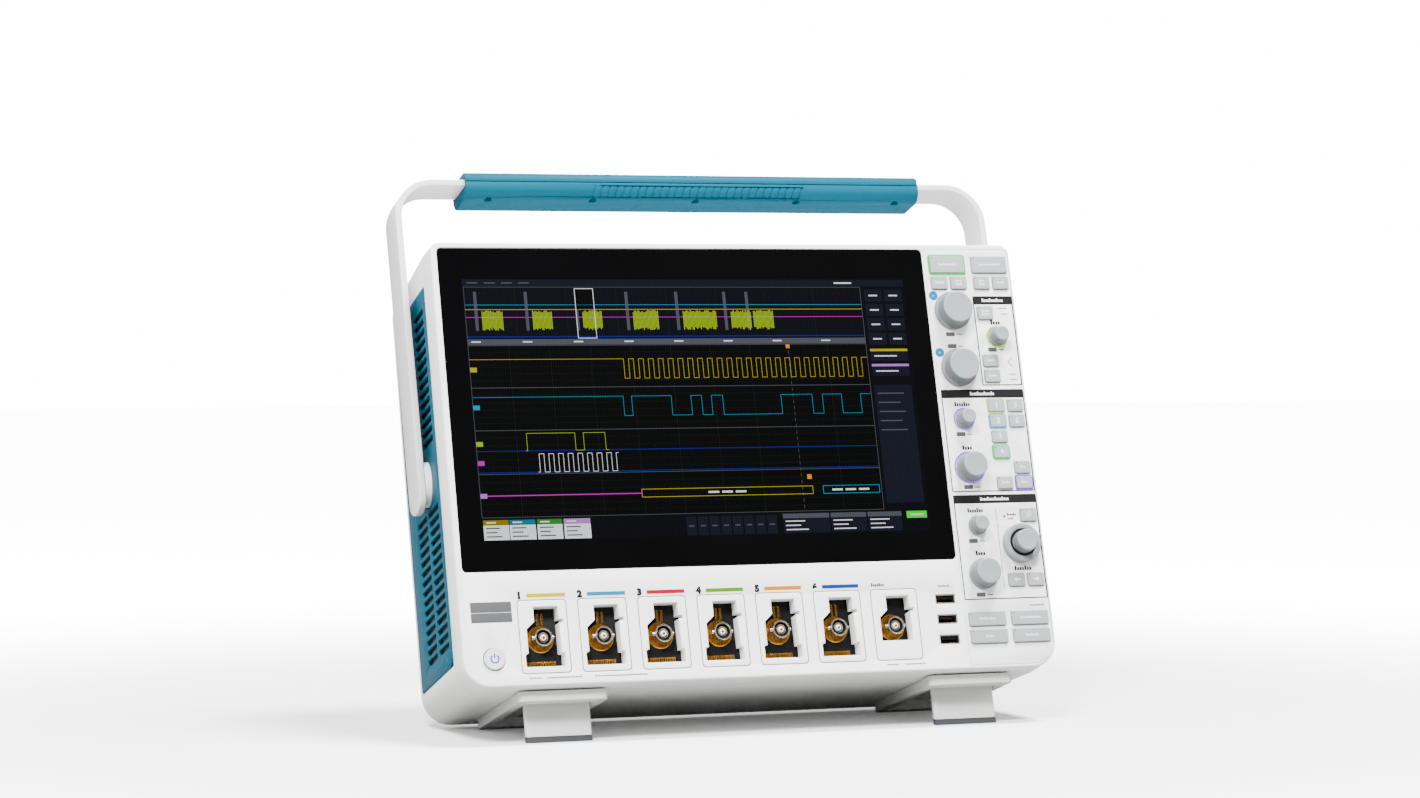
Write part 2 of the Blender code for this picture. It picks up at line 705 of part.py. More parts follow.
def build_knobs():
    lift = 0.5 * MM
    for name, (x, z, skirt, cap, height) in KNOBS.items():
        base = lift if name != "knob_zoom" else PAN_RING[2] + 0.5 * MM
        profile = [
            (0, height),
            (cap - 0.8 * MM, height),
            (cap, height - 0.8 * MM),
            (cap + 0.3 * MM, base + 2.2 * MM),
            (skirt, base + 1.6 * MM),
            (skirt, base),
            (SHAFT_RADIUS, base),
            (SHAFT_RADIUS, -SHAFT_DEPTH),
            (0, -SHAFT_DEPTH),
        ]
        turned(name, profile, KNOB_GREY, (x, 0, z))
    x, z = KNOBS["knob_zoom"][:2]
    outer, sleeve, height = PAN_RING
    bore = SHAFT_RADIUS + 0.5 * MM
    rear = -(BEZEL_WALL + 1.5 * MM)
    ring = [
        (bore, height - 0.6 * MM),
        (8.4 * MM, height - 0.6 * MM),
        (9 * MM, height),
        (outer - 0.8 * MM, height),
        (outer, height - 0.8 * MM),
        (outer, lift),
        (sleeve, lift),
        (sleeve, rear),
        (bore, rear),
        (bore, height - 0.6 * MM),
    ]
    turned("knob_pan_ring", ring, KNOB_GREY, (x, 0, z))


def build_inputs():
    """Seven coaxial sockets on one carrier behind the front panel's openings."""
    positions = input_positions()
    margin = 15 * MM
    low = (positions[0] - margin, INPUT_BACK, 9 * MM)
    high = (positions[-1] + margin, INPUT_BACK + 3.5 * MM, 53 * MM)
    carrier = place("input_connectors", box_mesh("carrier", low, high), BRASS)
    barrels = []
    bores = []
    rear = INPUT_BACK + 1 * MM
    for x in positions:
        barrels.append((BARREL_RADIUS, (x, 0.3 * MM, INPUT_Z), (x, rear, INPUT_Z)))
        floor = (x, INPUT_BACK - 1.5 * MM, INPUT_Z)
        bores.append((BARREL_RADIUS - 1.2 * MM, (x, -1 * MM, INPUT_Z), floor))
    join(carrier, cylinders_mesh("barrels", barrels, 20))
    cut(carrier, cylinders_mesh("bores", bores, 16))


def build_usb():
    rear = BEZEL_WALL + USB_SLOT[1] + 2 * MM
    half_x = USB_SLOT[0] / 2 + 1.8 * MM
    low_z = min(USB_HEIGHTS) - USB_SLOT[2] / 2 - 2 * MM
    high_z = max(USB_HEIGHTS) + USB_SLOT[2] / 2 + 2 * MM
    low = (USB_X - half_x, BEZEL_WALL + GAP, low_z)
    high = (USB_X + half_x, rear, high_z)
    sockets = place("usb_sockets", box_mesh("usb_block", low, high), STEEL)
    slots = []
    for z in USB_HEIGHTS:
        half = Vector((USB_SLOT[0] / 2, 0, USB_SLOT[2] / 2))
        centre = Vector((USB_X, 0, z))
        low = centre - half
        high = centre + half + Vector((0, BEZEL_WALL + USB_SLOT[1], 0))
        slots.append((low, high))
    cut(sockets, boxes_mesh("usb_slots", slots))


def build_foot(side, centre):
    """A fixed rail, the leg that flips down through its window and the leg's rubber pad."""
    half = RAIL_WIDTH / 2
    rail = place(
        "foot_rail_" + side,
        box_mesh("rail", (-half, RAIL_FRONT, RAIL_BOTTOM), (half, RAIL_BACK, RAIL_TOP)),
        LIGHT_GREY,
        location=(centre, 0, 0),
    )
    window_half = RAIL_WINDOW_WIDTH / 2
    window = box_mesh(
        "rail_window",
        (-window_half, RAIL_WINDOW[0], RAIL_BOTTOM - 1 * MM),
        (window_half, RAIL_WINDOW[1], RAIL_TOP + 1 * MM),
    )
    cut(rail, window, location=(centre, 0, 0))
    y, z = LEG_PIVOT
    pin_half = window_half + 2.5 * MM
    reach = pin_half + GAP
    pin_hole = cylinder_mesh("pin_hole", LEG_PIN_RADIUS + GAP, (-reach, y, z), (reach, y, z), 12)
    cut(rail, pin_hole, location=(centre, 0, 0))
    slope = math.tan(TILT)
    half_thick = LEG_THICKNESS / 2
    foot = LEG_FOOT_Z - z
    sole = foot + PAD_THICKNESS
    rise = LEG_THICKNESS * slope
    section = arc((0, 0), half_thick, 0, 180, 6) + [(-half_thick, sole), (half_thick, sole + rise)]
    leg = place(
        "leg_" + side,
        outline_mesh("leg", section, LEG_WIDTH),
        LIGHT_GREY,
        location=(centre, y, z),
        rotation=FACING_SIDE,
    )
    pin = cylinder_mesh("leg_pin", LEG_PIN_RADIUS, (0, 0, -pin_half), (0, 0, pin_half), 12)
    join(leg, pin, location=(centre, y, z), rotation=FACING_SIDE)
    pad_section = [
        (-half_thick, sole - GAP),
        (-half_thick, foot),
        (half_thick, foot + rise),
        (half_thick, sole + rise - GAP),
    ]
    place(
        "leg_pad_" + side,
        outline_mesh("leg_pad", pad_section, LEG_WIDTH),
        PAD_RUBBER,
        location=(centre, y, z),
        rotation=FACING_SIDE,
    )


def strap_path():
    """Middle line of the strap across X and up Z, from one arm's end to the other's."""
    corner = (STRAP_HALF_SPAN - STRAP_BEND, STRAP_TOP - STRAP_BEND)
    right = [(STRAP_HALF_SPAN, STRAP_END), (STRAP_HALF_SPAN, 0.0)]
    right += arc(corner, STRAP_BEND, 0, 90, 8)
    return right + [(-x, z) for x, z in reversed(right)]


def build_handle():
    """A flat strap bent over the case, with a two-shell grip round its top."""
    bm = bmesh.new()
    path = strap_path()
    half = STRAP_WIDTH / 2
    front = [bm.verts.new((x, -half, z)) for x, z in path]
    back = [bm.verts.new((x, half, z)) for x, z in path]
    for i in range(len(path) - 1):
        bm.faces.new((front[i], back[i], back[i + 1], front[i + 1]))
    bmesh.ops.bevel(
        bm,
        geom=[front[0], front[-1], back[0], back[-1]],
        offset=half - 1 * MM,
        segments=5,
        profile=0.5,
        affect="VERTICES",
    )
    strap = place("handle_strap", mesh_from(bm, "handle_strap"), LIGHT_GREY, HANDLE)
    solidify(strap, STRAP_THICKNESS)
    strap.modifiers["shell"].offset = 0
    inner = STRAP_HALF_SPAN - STRAP_THICKNESS / 2 - 1 * MM
    outer = STRAP_HALF_SPAN + 0.1 * MM
    sockets = [
        (PIVOT_PIN_RADIUS + 0.35 * MM, (side * inner, 0, 0), (side * outer, 0, 0)) for side in (-1, 1)
    ]
    cut(strap, cylinders_mesh("pivot_sockets", sockets, 20), parent=HANDLE)
    half_depth = GRIP_DEPTH / 2
    slot_half = STRAP_WIDTH / 2 + GAP
    slot = STRAP_THICKNESS / 2 + GAP
    seam = 0.15 * MM
    upper = [(half_depth, seam), (half_depth, 2 * MM)]
    upper += arc((half_depth - 5 * MM, GRIP_RISE - 4 * MM), 4 * MM, 45, 90, 3)
    upper += [(-x, z) for x, z in reversed(upper)]
    upper += [(-slot_half, seam), (-slot_half, slot), (slot_half, slot), (slot_half, seam)]
    lower = [(-half_depth, -seam), (-half_depth, -3 * MM)]
    lower += arc((-half_depth + 8 * MM, -GRIP_DROP + 8 * MM), 8 * MM, 190, 270, 4)
    lower += [(-x, z) for x, z in reversed(lower)]
    lower += [(slot_half, -seam), (slot_half, -slot), (-slot_half, -slot), (-slot_half, -seam)]
    for name, outline in (("grip_upper", upper), ("grip_lower", lower)):
        place(
            name,
            outline_mesh(name, outline, GRIP_LENGTH),
            BLUE_TRIM,
            HANDLE,
            (0, 0, STRAP_TOP),
            FACING_SIDE,
        )


def build_inside():
    """Chassis, boards and power supply, each clear of the shells."""
    half = 180 * MM
    front = BEZEL_DEPTH + 3 * MM
    base = 8 * MM
    sheet = 1.5 * MM
    bent = [
        (front, base),
        (front + 70 * MM, base),
        (front + 70 * MM, base + sheet),
        (front + sheet, base + sheet),
        (front + sheet, 262 * MM),
        (front, 262 * MM),
    ]
    place("chassis", outline_mesh("chassis", bent, 2 * half), STEEL, rotation=FACING_SIDE)
    board = place(
        "acquisition_board",
        box_mesh("board", (-165 * MM, 30 * MM, 14 * MM), (105 * MM, 31.6 * MM, 250 * MM)),
        BOARD_GREEN,
    )
    parts = [
        ((-70 * MM, 31 * MM, 100 * MM), (20 * MM, 48 * MM, 190 * MM)),
        ((-150 * MM, 31 * MM, 20 * MM), (95 * MM, 40 * MM, 62 * MM)),
    ]
    join(board, boxes_mesh("heat_spreaders", parts))
    place(
        "front_panel_board",
        box_mesh("panel_board", (134 * MM, 8 * MM, 14 * MM), (189 * MM, 9.6 * MM, 268 * MM)),
        BOARD_GREEN,
    )
    place(
        "power_supply",
        box_mesh("supply", (5 * MM, 55 * MM, 70 * MM), (125 * MM, 100 * MM, 150 * MM), 1.5 * MM),
        STEEL,
    )


def build_fan():
    x, y, z = FAN_CENTRE
    half = FAN_SIDE / 2
    deep = FAN_THICKNESS / 2
    frame = place(
        "fan_frame",
        box_mesh("fan_frame", (-deep, -half, -half), (deep, half, half), 2 * MM),
        BLACK_PLASTIC,
        location=(x, y, z),
    )
    bore = cylinder_mesh("fan_bore", half - 2.5 * MM, (-deep + 3 * MM, 0, 0), (2 * deep, 0, 0), 28)
    cut(frame, bore, location=(x, y, z))
    inlet = cylinder_mesh("fan_inlet", half - 12 * MM, (-2 * deep, 0, 0), (0, 0, 0), 28)
    cut(frame, inlet, location=(x, y, z))
    rotor = place(
        "fan_rotor",
        cylinder_mesh("fan_hub", 14 * MM, (-deep + 4 * MM, 0, 0), (deep - 3 * MM, 0, 0), 20),
        BLACK_PLASTIC,
        location=(x, y, z),
    )
    blades = bmesh.new()
    count = 7
    for i in range(count):
        before = set(blades.verts)
        add_box(blades, (-6 * MM, -0.8 * MM, 12 * MM), (6 * MM, 0.8 * MM, half - 4.5 * MM))
        made = [vertex for vertex in blades.verts if vertex not in before]
        pitch = Matrix.Rotation(math.radians(35), 3, "Z")
        turn = Matrix.Rotation(2 * math.pi * i / count, 3, "X")
        bmesh.ops.rotate(blades, verts=made, cent=(0, 0, 0), matrix=turn @ pitch)
    join(rotor, mesh_from(blades, "fan_blades"), location=(x, y, z))


def build_rear_sockets():
    low_x, high_x, low_z, high_z = REAR_WINDOW
    lap = 4 * MM
    rear = CASE_DEPTH - COVER_WALL - GAP
    low = (low_x - lap, rear - 1.4 * MM, low_z - lap)
    high = (high_x + lap, rear, high_z + lap)
    panel = place("rear_io_panel", box_mesh("io_panel", low, high), STEEL)
    middle = (low_z + high_z) / 2
    holes = []
    for i, (width, height) in enumerate(REAR_SOCKETS):
        half = Vector((width / 2, 4 * MM, height / 2))
        centre = Vector((low_x + 18 * MM + i * REAR_SOCKET_PITCH, rear, middle))
        holes.append((centre - half, centre + half))
    cut(panel, boxes_mesh("io_holes", holes))
    inlet_x, inlet_z = INLET_CENTRE
    half = Vector(INLET_SIZE) / 2
    centre = Vector((inlet_x, CASE_DEPTH - half.y + 0.8 * MM, inlet_z))
    inlet = place(
        "power_inlet", box_mesh("inlet", -half, half, 1 * MM), BLACK_PLASTIC, location=centre
    )
    across, up = INLET_SOCKET[0] / 2, INLET_SOCKET[1] / 2
    socket = box_mesh("inlet_socket", (-across, -4 * MM, -up), (across, 2 * half.y, up))
    cut(inlet, socket, location=centre)


def settle():
    """Moves the model so that its origin is under the middle of its bounding box."""
    bpy.context.view_layer.update()
    graph = bpy.context.evaluated_depsgraph_get()
    points = []
    for item in PARTS.objects:
        evaluated = item.evaluated_get(graph)
        points += [evaluated.matrix_world @ vertex.co for vertex in evaluated.data.vertices]
    low = [min(point[axis] for point in points) for axis in range(3)]
    high = [max(point[axis] for point in points) for axis in range(3)]
    MODEL.location = (-(low[0] + high[0]) / 2, -(low[1] + high[1]) / 2, -low[2])
    bpy.context.view_layer.update()


def main():
    build_bezel()
    build_rear_cover()
    build_vent_panel("vent_panel_left", -1)
    build_vent_panel("vent_panel_right", 1)
    build_display()
    build_keys()
    build_knobs()
    build_inputs()
    build_usb()
    for side, centre in RAIL_CENTRES.items():
        build_foot(side, centre)
    build_handle()
    build_inside()
    build_fan()
    build_rear_sockets()
    settle()


main()
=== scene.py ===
"""Looks of the portable bench oscilloscope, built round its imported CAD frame.

Pieces are drawn in millimetres, most of them in the case's own upright frame: +X right, +Y from the
front panel towards the back, +Z up, zero at the middle of the front panel's bottom edge. CASE turns
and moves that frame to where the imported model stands, in metres.
"""

import json
import math
import random

import bmesh
import bpy
from mathutils import Matrix, Vector


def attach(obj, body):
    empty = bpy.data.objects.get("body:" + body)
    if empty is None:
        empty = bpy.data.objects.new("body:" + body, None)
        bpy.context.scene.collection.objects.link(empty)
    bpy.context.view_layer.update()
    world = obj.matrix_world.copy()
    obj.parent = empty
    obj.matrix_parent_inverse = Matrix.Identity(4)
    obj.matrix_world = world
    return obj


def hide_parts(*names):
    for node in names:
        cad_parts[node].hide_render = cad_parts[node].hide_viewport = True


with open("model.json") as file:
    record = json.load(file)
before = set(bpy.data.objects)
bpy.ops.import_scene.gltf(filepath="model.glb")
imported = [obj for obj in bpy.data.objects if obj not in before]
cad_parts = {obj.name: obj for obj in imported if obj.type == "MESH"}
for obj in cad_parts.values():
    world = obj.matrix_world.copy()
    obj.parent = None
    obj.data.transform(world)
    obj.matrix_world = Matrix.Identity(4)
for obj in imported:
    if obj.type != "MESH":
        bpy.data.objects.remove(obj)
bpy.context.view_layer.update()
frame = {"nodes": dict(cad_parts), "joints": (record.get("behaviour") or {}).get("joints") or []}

MM = 0.001
FACE_WIDTH = 389.5
FACE_HEIGHT = 279
HALF_WIDTH = FACE_WIDTH / 2
BEZEL_DEPTH = 21
SIDE_END = 118
CASE_DEPTH = 133
SIDE_DRAFT = 5.5
CASE_SAG = 1.5
BACK_TOP = FACE_HEIGHT - 1.5
WALL = 2.4
INPUT_PITCH = 38.35
FIRST_INPUT_X = -142.9
INPUT_Z = 29.7
INPUT_COUNT = 7
INPUT_XS = [FIRST_INPUT_X + i * INPUT_PITCH for i in range(INPUT_COUNT)]
FRAME_SIZE = (30.8, 45)
FRAME_Z = 30
CARRIER_Y = 9.5
HANDLE_LEAN = math.radians(2)
INK = 0.04
UNDER_INK = 0.02

JOINTS = {joint["name"]: joint for joint in frame["joints"]}
random.seed(7)


# The case's frame, the handle's frame and the drafted sides


def box_in(node, place):
    """Lowest and highest corner of a CAD node at rest, measured along another frame's axes."""
    inverse = place.inverted()
    points = [inverse @ vertex.co for vertex in frame["nodes"][node].data.vertices]
    low = Vector([min(point[axis] for point in points) for axis in range(3)])
    high = Vector([max(point[axis] for point in points) for axis in range(3)])
    return low, high


def case_frame():
    into = Vector(JOINTS["key_save_press"]["axis"])
    turn = Matrix.Rotation(math.atan2(into.z, into.y), 4, "X") @ Matrix.Scale(MM, 4)
    low, high = box_in("front_bezel", turn)
    return turn @ Matrix.Translation((0, low.y, high.z - FACE_HEIGHT))


CASE = case_frame()
FLAT = Matrix.Identity(4)
FRONT = Matrix.Rotation(math.pi / 2, 4, "X")
BACK = Matrix.Rotation(-math.pi / 2, 4, "X")
SIDEWAYS = Matrix(((0, 0, 1, 0), (1, 0, 0, 0), (0, 1, 0, 0), (0, 0, 0, 1)))
HANDLE = (
    Matrix.Translation(JOINTS["handle_fold"]["pos_m"])
    @ CASE.to_3x3().to_4x4()
    @ Matrix.Rotation(-HANDLE_LEAN, 4, "X")
)


def case_box(node):
    return box_in(node, CASE)


def joint_place(name):
    """Where a joint's axis passes, in the case's frame."""
    return CASE.inverted() @ Vector(JOINTS[name]["pos_m"])


def side_frame(side):
    """Local X along the drafted side, local Y up, local Z out of it. X runs back on the right side
    and forward on the left."""
    angle = math.atan2(SIDE_DRAFT, SIDE_END - BEZEL_DEPTH)
    along = Vector((-math.sin(angle), side * math.cos(angle), 0))
    out = Vector((side * math.cos(angle), math.sin(angle), 0))
    turn = Matrix((along, Vector((0, 0, 1)), out)).transposed().to_4x4()
    return CASE @ Matrix.Translation((side * HALF_WIDTH, BEZEL_DEPTH, 0)) @ turn


# Outlines: lists of points in a plane


def arc(centre, radius, start, end, steps):
    points = []
    for i in range(steps + 1):
        angle = math.radians(start + (end - start) * i / steps)
        points.append((centre[0] + radius * math.cos(angle), centre[1] + radius * math.sin(angle)))
    return points


def circle(x, z, radius, steps=32):
    return arc((x, z), radius, 0, 360 - 360 / steps, steps - 1)


def rounded(low_x, high_x, low_z, high_z, radius, steps=5):
    """A rounded rectangle. radius is one number, or four: bottom left, bottom right, top right, top left."""
    bl, br, tr, tl = radius if isinstance(radius, tuple) else (radius,) * 4
    return (
        arc((low_x + bl, low_z + bl), bl, 180, 270, steps)
        + arc((high_x - br, low_z + br), br, 270, 360, steps)
        + arc((high_x - tr, high_z - tr), tr, 0, 90, steps)
        + arc((low_x + tl, high_z - tl), tl, 90, 180, steps)
    )


def centred(x, z, width, height, radius, steps=4):
    return rounded(x - width / 2, x + width / 2, z - height / 2, z + height / 2, radius, steps)


def mirrored_outline(side):
    """An outline that goes up one side and comes down the other."""
    return side + [(-across, up) for across, up in reversed(side)]


# Solids: each function returns a bmesh, and Mix joins them into one mesh


def moved(bm, matrix):
    bmesh.ops.transform(bm, matrix=matrix, verts=bm.verts)
    return bm


def facing_out(bm):
    bmesh.ops.recalc_face_normals(bm, faces=bm.faces)
    return bm


def shown(name, data):
    """An object put in the scene."""
    made = bpy.data.objects.new(name, data)
    bpy.context.scene.collection.objects.link(made)
    return made


def mesh_of(bm, name="solid"):
    mesh = bpy.data.meshes.new(name)
    bm.to_mesh(mesh)
    bm.free()
    return mesh


def taken(made, *tools):
    """The mesh an object shows with its modifiers. The object and its cutting tools are removed."""
    bpy.context.view_layer.update()
    graph = bpy.context.evaluated_depsgraph_get()
    mesh = bpy.data.meshes.new_from_object(made.evaluated_get(graph))
    for item in (made, *tools):
        bpy.data.objects.remove(item)
    bm = bmesh.new()
    bm.from_mesh(mesh)
    bpy.data.meshes.remove(mesh)
    return bm


def drawn(curve):
    """The closed mesh of a curve or text."""
    bm = taken(shown("outline", curve))
    bmesh.ops.remove_doubles(bm, verts=bm.verts, dist=1e-4)
    return facing_out(bm)


def box(low, high, bevel=0.0, segments=2):
    bm = bmesh.new()
    low, high = Vector(low), Vector(high)
    place = Matrix.Translation((low + high) / 2) @ Matrix.Diagonal((*(high - low), 1))
    bmesh.ops.create_cube(bm, size=1, matrix=place)
    if bevel:
        edges = list(bm.edges)
        bmesh.ops.bevel(bm, geom=edges, offset=bevel, segments=segments, affect="EDGES", profile=0.5)
    return bm


def block(x, z, half_x, half_z, low, high, bevel=0.0):
    """A box centred on a place on the front, from depth low to depth high."""
    return box((x - half_x, low, z - half_z), (x + half_x, high, z + half_z), bevel)


def plate(outlines, low, high, bevel=0.0, turn=FRONT, resolution=1):
    """A flat plate with rounded edges, its first outline filled and the others cut out of it. The
    outlines are drawn across and up, and the plate reaches from depth low to depth high along the
    plane's inward normal, which is +Y with the front's turn."""
    curve = bpy.data.curves.new("outline", "CURVE")
    curve.dimensions = "2D"
    curve.fill_mode = "BOTH"
    curve.extrude = (high - low) / 2 - bevel
    curve.bevel_depth = bevel
    curve.bevel_resolution = resolution
    curve.offset = -bevel
    for outline in outlines:
        spline = curve.splines.new("POLY")
        spline.points.add(len(outline) - 1)
        for point, (across, up) in zip(spline.points, outline):
            point.co = (across, up, 0, 1)
        spline.use_cyclic_u = True
    return moved(drawn(curve), turn @ Matrix.Translation((0, 0, -(low + high) / 2)))


def turned(profile, place=(0, 0, 0), turn=FRONT, steps=48):
    """A body turned about local Z from (radius, height) points. A profile that starts and ends on the
    axis makes a solid, and one that ends at its first point makes a ring."""
    bm = bmesh.new()
    closed = profile[0] == profile[-1]
    rings = []
    for radius, height in profile[:-1] if closed else profile:
        points = [(0, 0)] if radius == 0 else circle(0, 0, radius, steps)
        rings.append([bm.verts.new((x, y, height)) for x, y in points])
    pairs = list(zip(rings, rings[1:]))
    if closed:
        pairs.append((rings[-1], rings[0]))
    for near, far in pairs:
        for i in range(steps):
            j = (i + 1) % steps
            corners = [near[i % len(near)], near[j % len(near)], far[j % len(far)], far[i % len(far)]]
            face = list(dict.fromkeys(corners))
            if len(face) > 2:
                bm.faces.new(face)
    return moved(facing_out(bm), Matrix.Translation(place) @ turn)


def rod(radius, start, end, steps=20, bevel=0.0):
    """A cylinder between two points, its rims chamfered by bevel."""
    start, end = Vector(start), Vector(end)
    length = (end - start).length
    profile = [(0, 0), (radius, 0), (radius, length), (0, length)]
    if bevel:
        rim = radius - bevel
        profile[1:3] = [(rim, 0), (radius, bevel), (radius, length - bevel), (rim, length)]
    return turned(profile, start, (end - start).to_track_quat("Z", "Y").to_matrix().to_4x4(), steps)


def ring(inner, outer, low, high, place, steps=48):
    """A flat ring facing the front, from depth low to depth high."""
    profile = [(inner, -high), (outer, -high), (outer, -low), (inner, -low), (inner, -high)]
    return turned(profile, place, FRONT, steps)


def loft(sections):
    """A solid through sections with equal numbers of points."""
    bm = bmesh.new()
    rings = [[bm.verts.new(point) for point in section] for section in sections]
    count = len(rings[0])
    for near, far in zip(rings, rings[1:]):
        for i in range(count):
            j = (i + 1) % count
            bm.faces.new((near[i], near[j], far[j], far[i]))
    bm.faces.new(rings[0])
    bm.faces.new(rings[-1])
    return facing_out(bm)


def lettering(text, x, z, size, front, weight):
    """A digit in the plain built-in font, centred on a place on the front."""
    curve = bpy.data.curves.new("sign", "FONT")
    curve.body = text
    curve.size = size
    curve.extrude = INK / 2
    curve.align_x = "CENTER"
    curve.align_y = "CENTER"
    curve.resolution_u = 3
    curve.offset = weight
    return moved(drawn(curve), Matrix.Translation((x, front - INK / 2, z)) @ FRONT)


def carved(solid, cutters=(), bevel=0.0, segments=2, angle=40):
    """A solid cut by others, its sharp edges rounded."""
    target = shown("target", mesh_of(solid))
    tools = [shown("tool", mesh_of(cutter)) for cutter in cutters]
    for tool in tools:
        cut = target.modifiers.new("cut", "BOOLEAN")
        cut.solver = "EXACT"
        cut.object = tool
    if bevel:
        rounding = target.modifiers.new("rounding", "BEVEL")
        rounding.width = bevel
        rounding.segments = segments
        rounding.limit_method = "ANGLE"
        rounding.angle_limit = math.radians(angle)
        rounding.use_clamp_overlap = False
    return taken(target, *tools)


def sliced(bm, place, normal):
    """A solid without what lies beyond a plane, the cut closed."""
    everything = [*bm.verts, *bm.edges, *bm.faces]
    bmesh.ops.bisect_plane(bm, geom=everything, plane_co=place, plane_no=normal, clear_outer=True)
    bmesh.ops.holes_fill(bm, edges=[edge for edge in bm.edges if edge.is_boundary])
    return facing_out(bm)


class Mix:
    """Collects solids, each with a material, into the mesh of one piece."""

    def __init__(self, *materials):
        self.materials = list(materials)
        self.bm = bmesh.new()

    def add(self, solid, material=None, matrix=FLAT):
        moved(solid, matrix)
        for face in solid.faces:
            face.material_index = self.materials.index(material) if material else 0
        mesh = mesh_of(solid)
        self.bm.from_mesh(mesh)
        bpy.data.meshes.remove(mesh)
        return self

    def made(self, name, body="case", stands_for=(), slot=None, place=CASE):
        """Shows the piece with its materials. It rides on a body and stands for CAD nodes. slot is not used.
        """
        mesh = mesh_of(moved(self.bm, place), name)
        mesh.shade_smooth()
        mesh.set_sharp_from_angle(angle=math.radians(35))
        for material in self.materials:
            mesh.materials.append(material)
        piece = shown(name, mesh)
        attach(piece, body)
        if stands_for:
            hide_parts(*stands_for)


def together(solids):
    """Several separate solids as one bmesh."""
    mix = Mix()
    for solid in solids:
        mix.add(solid)
    return mix.bm


# Materials


def shaded(colour, factor):
    return tuple(min(1.0, channel * factor) for channel in colour)


class Surface:
    """A procedural material, its nodes driven by places on the piece."""

    def __init__(self, name, specular=0.5):
        self.material = bpy.data.materials.new(name)
        self.material.use_nodes = True
        self.nodes, self.links = self.material.node_tree.nodes, self.material.node_tree.links
        self.shader = self.nodes["Principled BSDF"].inputs
        self.shader["Specular IOR Level"].default_value = specular
        self.places = self.nodes.new("ShaderNodeTexCoord").outputs["Object"]

    def node(self, kind, vector=None, **numbers):
        """A node with its inputs set, an underscore standing for the space in an input's name."""
        made = self.nodes.new("ShaderNode" + kind)
        for name, number in numbers.items():
            made.inputs[name.replace("_", " ")].default_value = number
        if vector:
            self.links.new(vector, made.inputs["Vector"])
        return made

    def noise(self, size, detail=2.0):
        return self.node("TexNoise", self.places, Scale=1 / (size * MM), Detail=detail).outputs["Fac"]

    def ranged(self, value, low, high, start=0.3, end=0.7):
        made = self.node("MapRange", From_Min=start, From_Max=end, To_Min=low, To_Max=high)
        self.links.new(value, made.inputs["Value"])
        return made.outputs["Result"]

    def mixed(self, value, first, second):
        made = self.nodes.new("ShaderNodeMix")
        made.data_type = "RGBA"
        made.inputs["A"].default_value = (*first, 1)
        made.inputs["B"].default_value = (*second, 1)
        self.links.new(value, made.inputs["Factor"])
        return made.outputs["Result"]

    def paint(self, colours, gloss=None, socket="Base Color"):
        self.links.new(colours, self.shader[socket])
        if gloss:
            self.links.new(gloss, self.shader["Roughness"])

    def bump(self, height, depth, strength=0.35):
        bump = self.node("Bump", Strength=strength, Distance=depth * MM)
        self.links.new(height, bump.inputs["Height"])
        self.links.new(bump.outputs["Normal"], self.shader["Normal"])


def moulded(name, colour, roughness, grain=0.35, depth=0.02, specular=0.5, coat=0.0):
    """Moulded plastic, print or paint: fine grain, faint blotches of colour and uneven gloss."""
    surface = Surface(name, specular)
    blotches = surface.noise(35, 3)
    fine = surface.noise(grain)
    surface.paint(
        surface.mixed(blotches, shaded(colour, 0.96), shaded(colour, 1.04)),
        surface.ranged(fine, roughness - 0.05, roughness + 0.05),
    )
    surface.bump(fine, depth)
    surface.shader["Coat Weight"].default_value = coat
    return surface.material


def printed(name, colour, roughness=0.55, specular=0.1):
    return moulded(name, colour, roughness, 0.1, specular=specular)


def lit(name, colour, strength=1.0, dim=0.8, pitch=0.25):
    """Something that gives light: a display's pixels or a lens over a lamp."""
    surface = Surface(name, 0.1)
    bands = surface.node("TexWave", surface.places, Scale=1 / (pitch * 20 * MM))
    bands.bands_direction = "X"
    pixels = bands.outputs["Fac"]
    surface.paint(surface.mixed(pixels, shaded(colour, dim), colour), socket="Emission Color")
    surface.links.new(surface.ranged(pixels, 0.22, 0.28), surface.shader["Roughness"])
    surface.bump(pixels, 0.002, 0.1)
    surface.shader["Base Color"].default_value = (*shaded(colour, 0.15), 1)
    surface.shader["Emission Strength"].default_value = strength
    return surface.material


def brushed(name, colour, roughness, stretch=(1, 1, 40)):
    """Metal with fine marks along one direction."""
    surface = Surface(name)
    stretched = surface.node("Mapping", surface.places, Scale=stretch).outputs["Vector"]
    marks = surface.node("TexNoise", stretched, Scale=120, Detail=4).outputs["Fac"]
    surface.paint(
        surface.mixed(marks, shaded(colour, 0.85), shaded(colour, 1.1)),
        surface.ranged(marks, roughness - 0.08, roughness + 0.1),
    )
    surface.bump(marks, 0.01, 0.2)
    surface.shader["Metallic"].default_value = 1.0
    return surface.material


def black_glass():
    surface = Surface("black_glass", 0.12)
    smears = surface.noise(60, 4)
    colours = surface.mixed(smears, (0.0003, 0.0003, 0.0004), (0.0008, 0.0008, 0.001))
    surface.paint(colours, surface.ranged(smears, 0.05, 0.09))
    surface.bump(smears, 0.01, 0.05)
    return surface.material


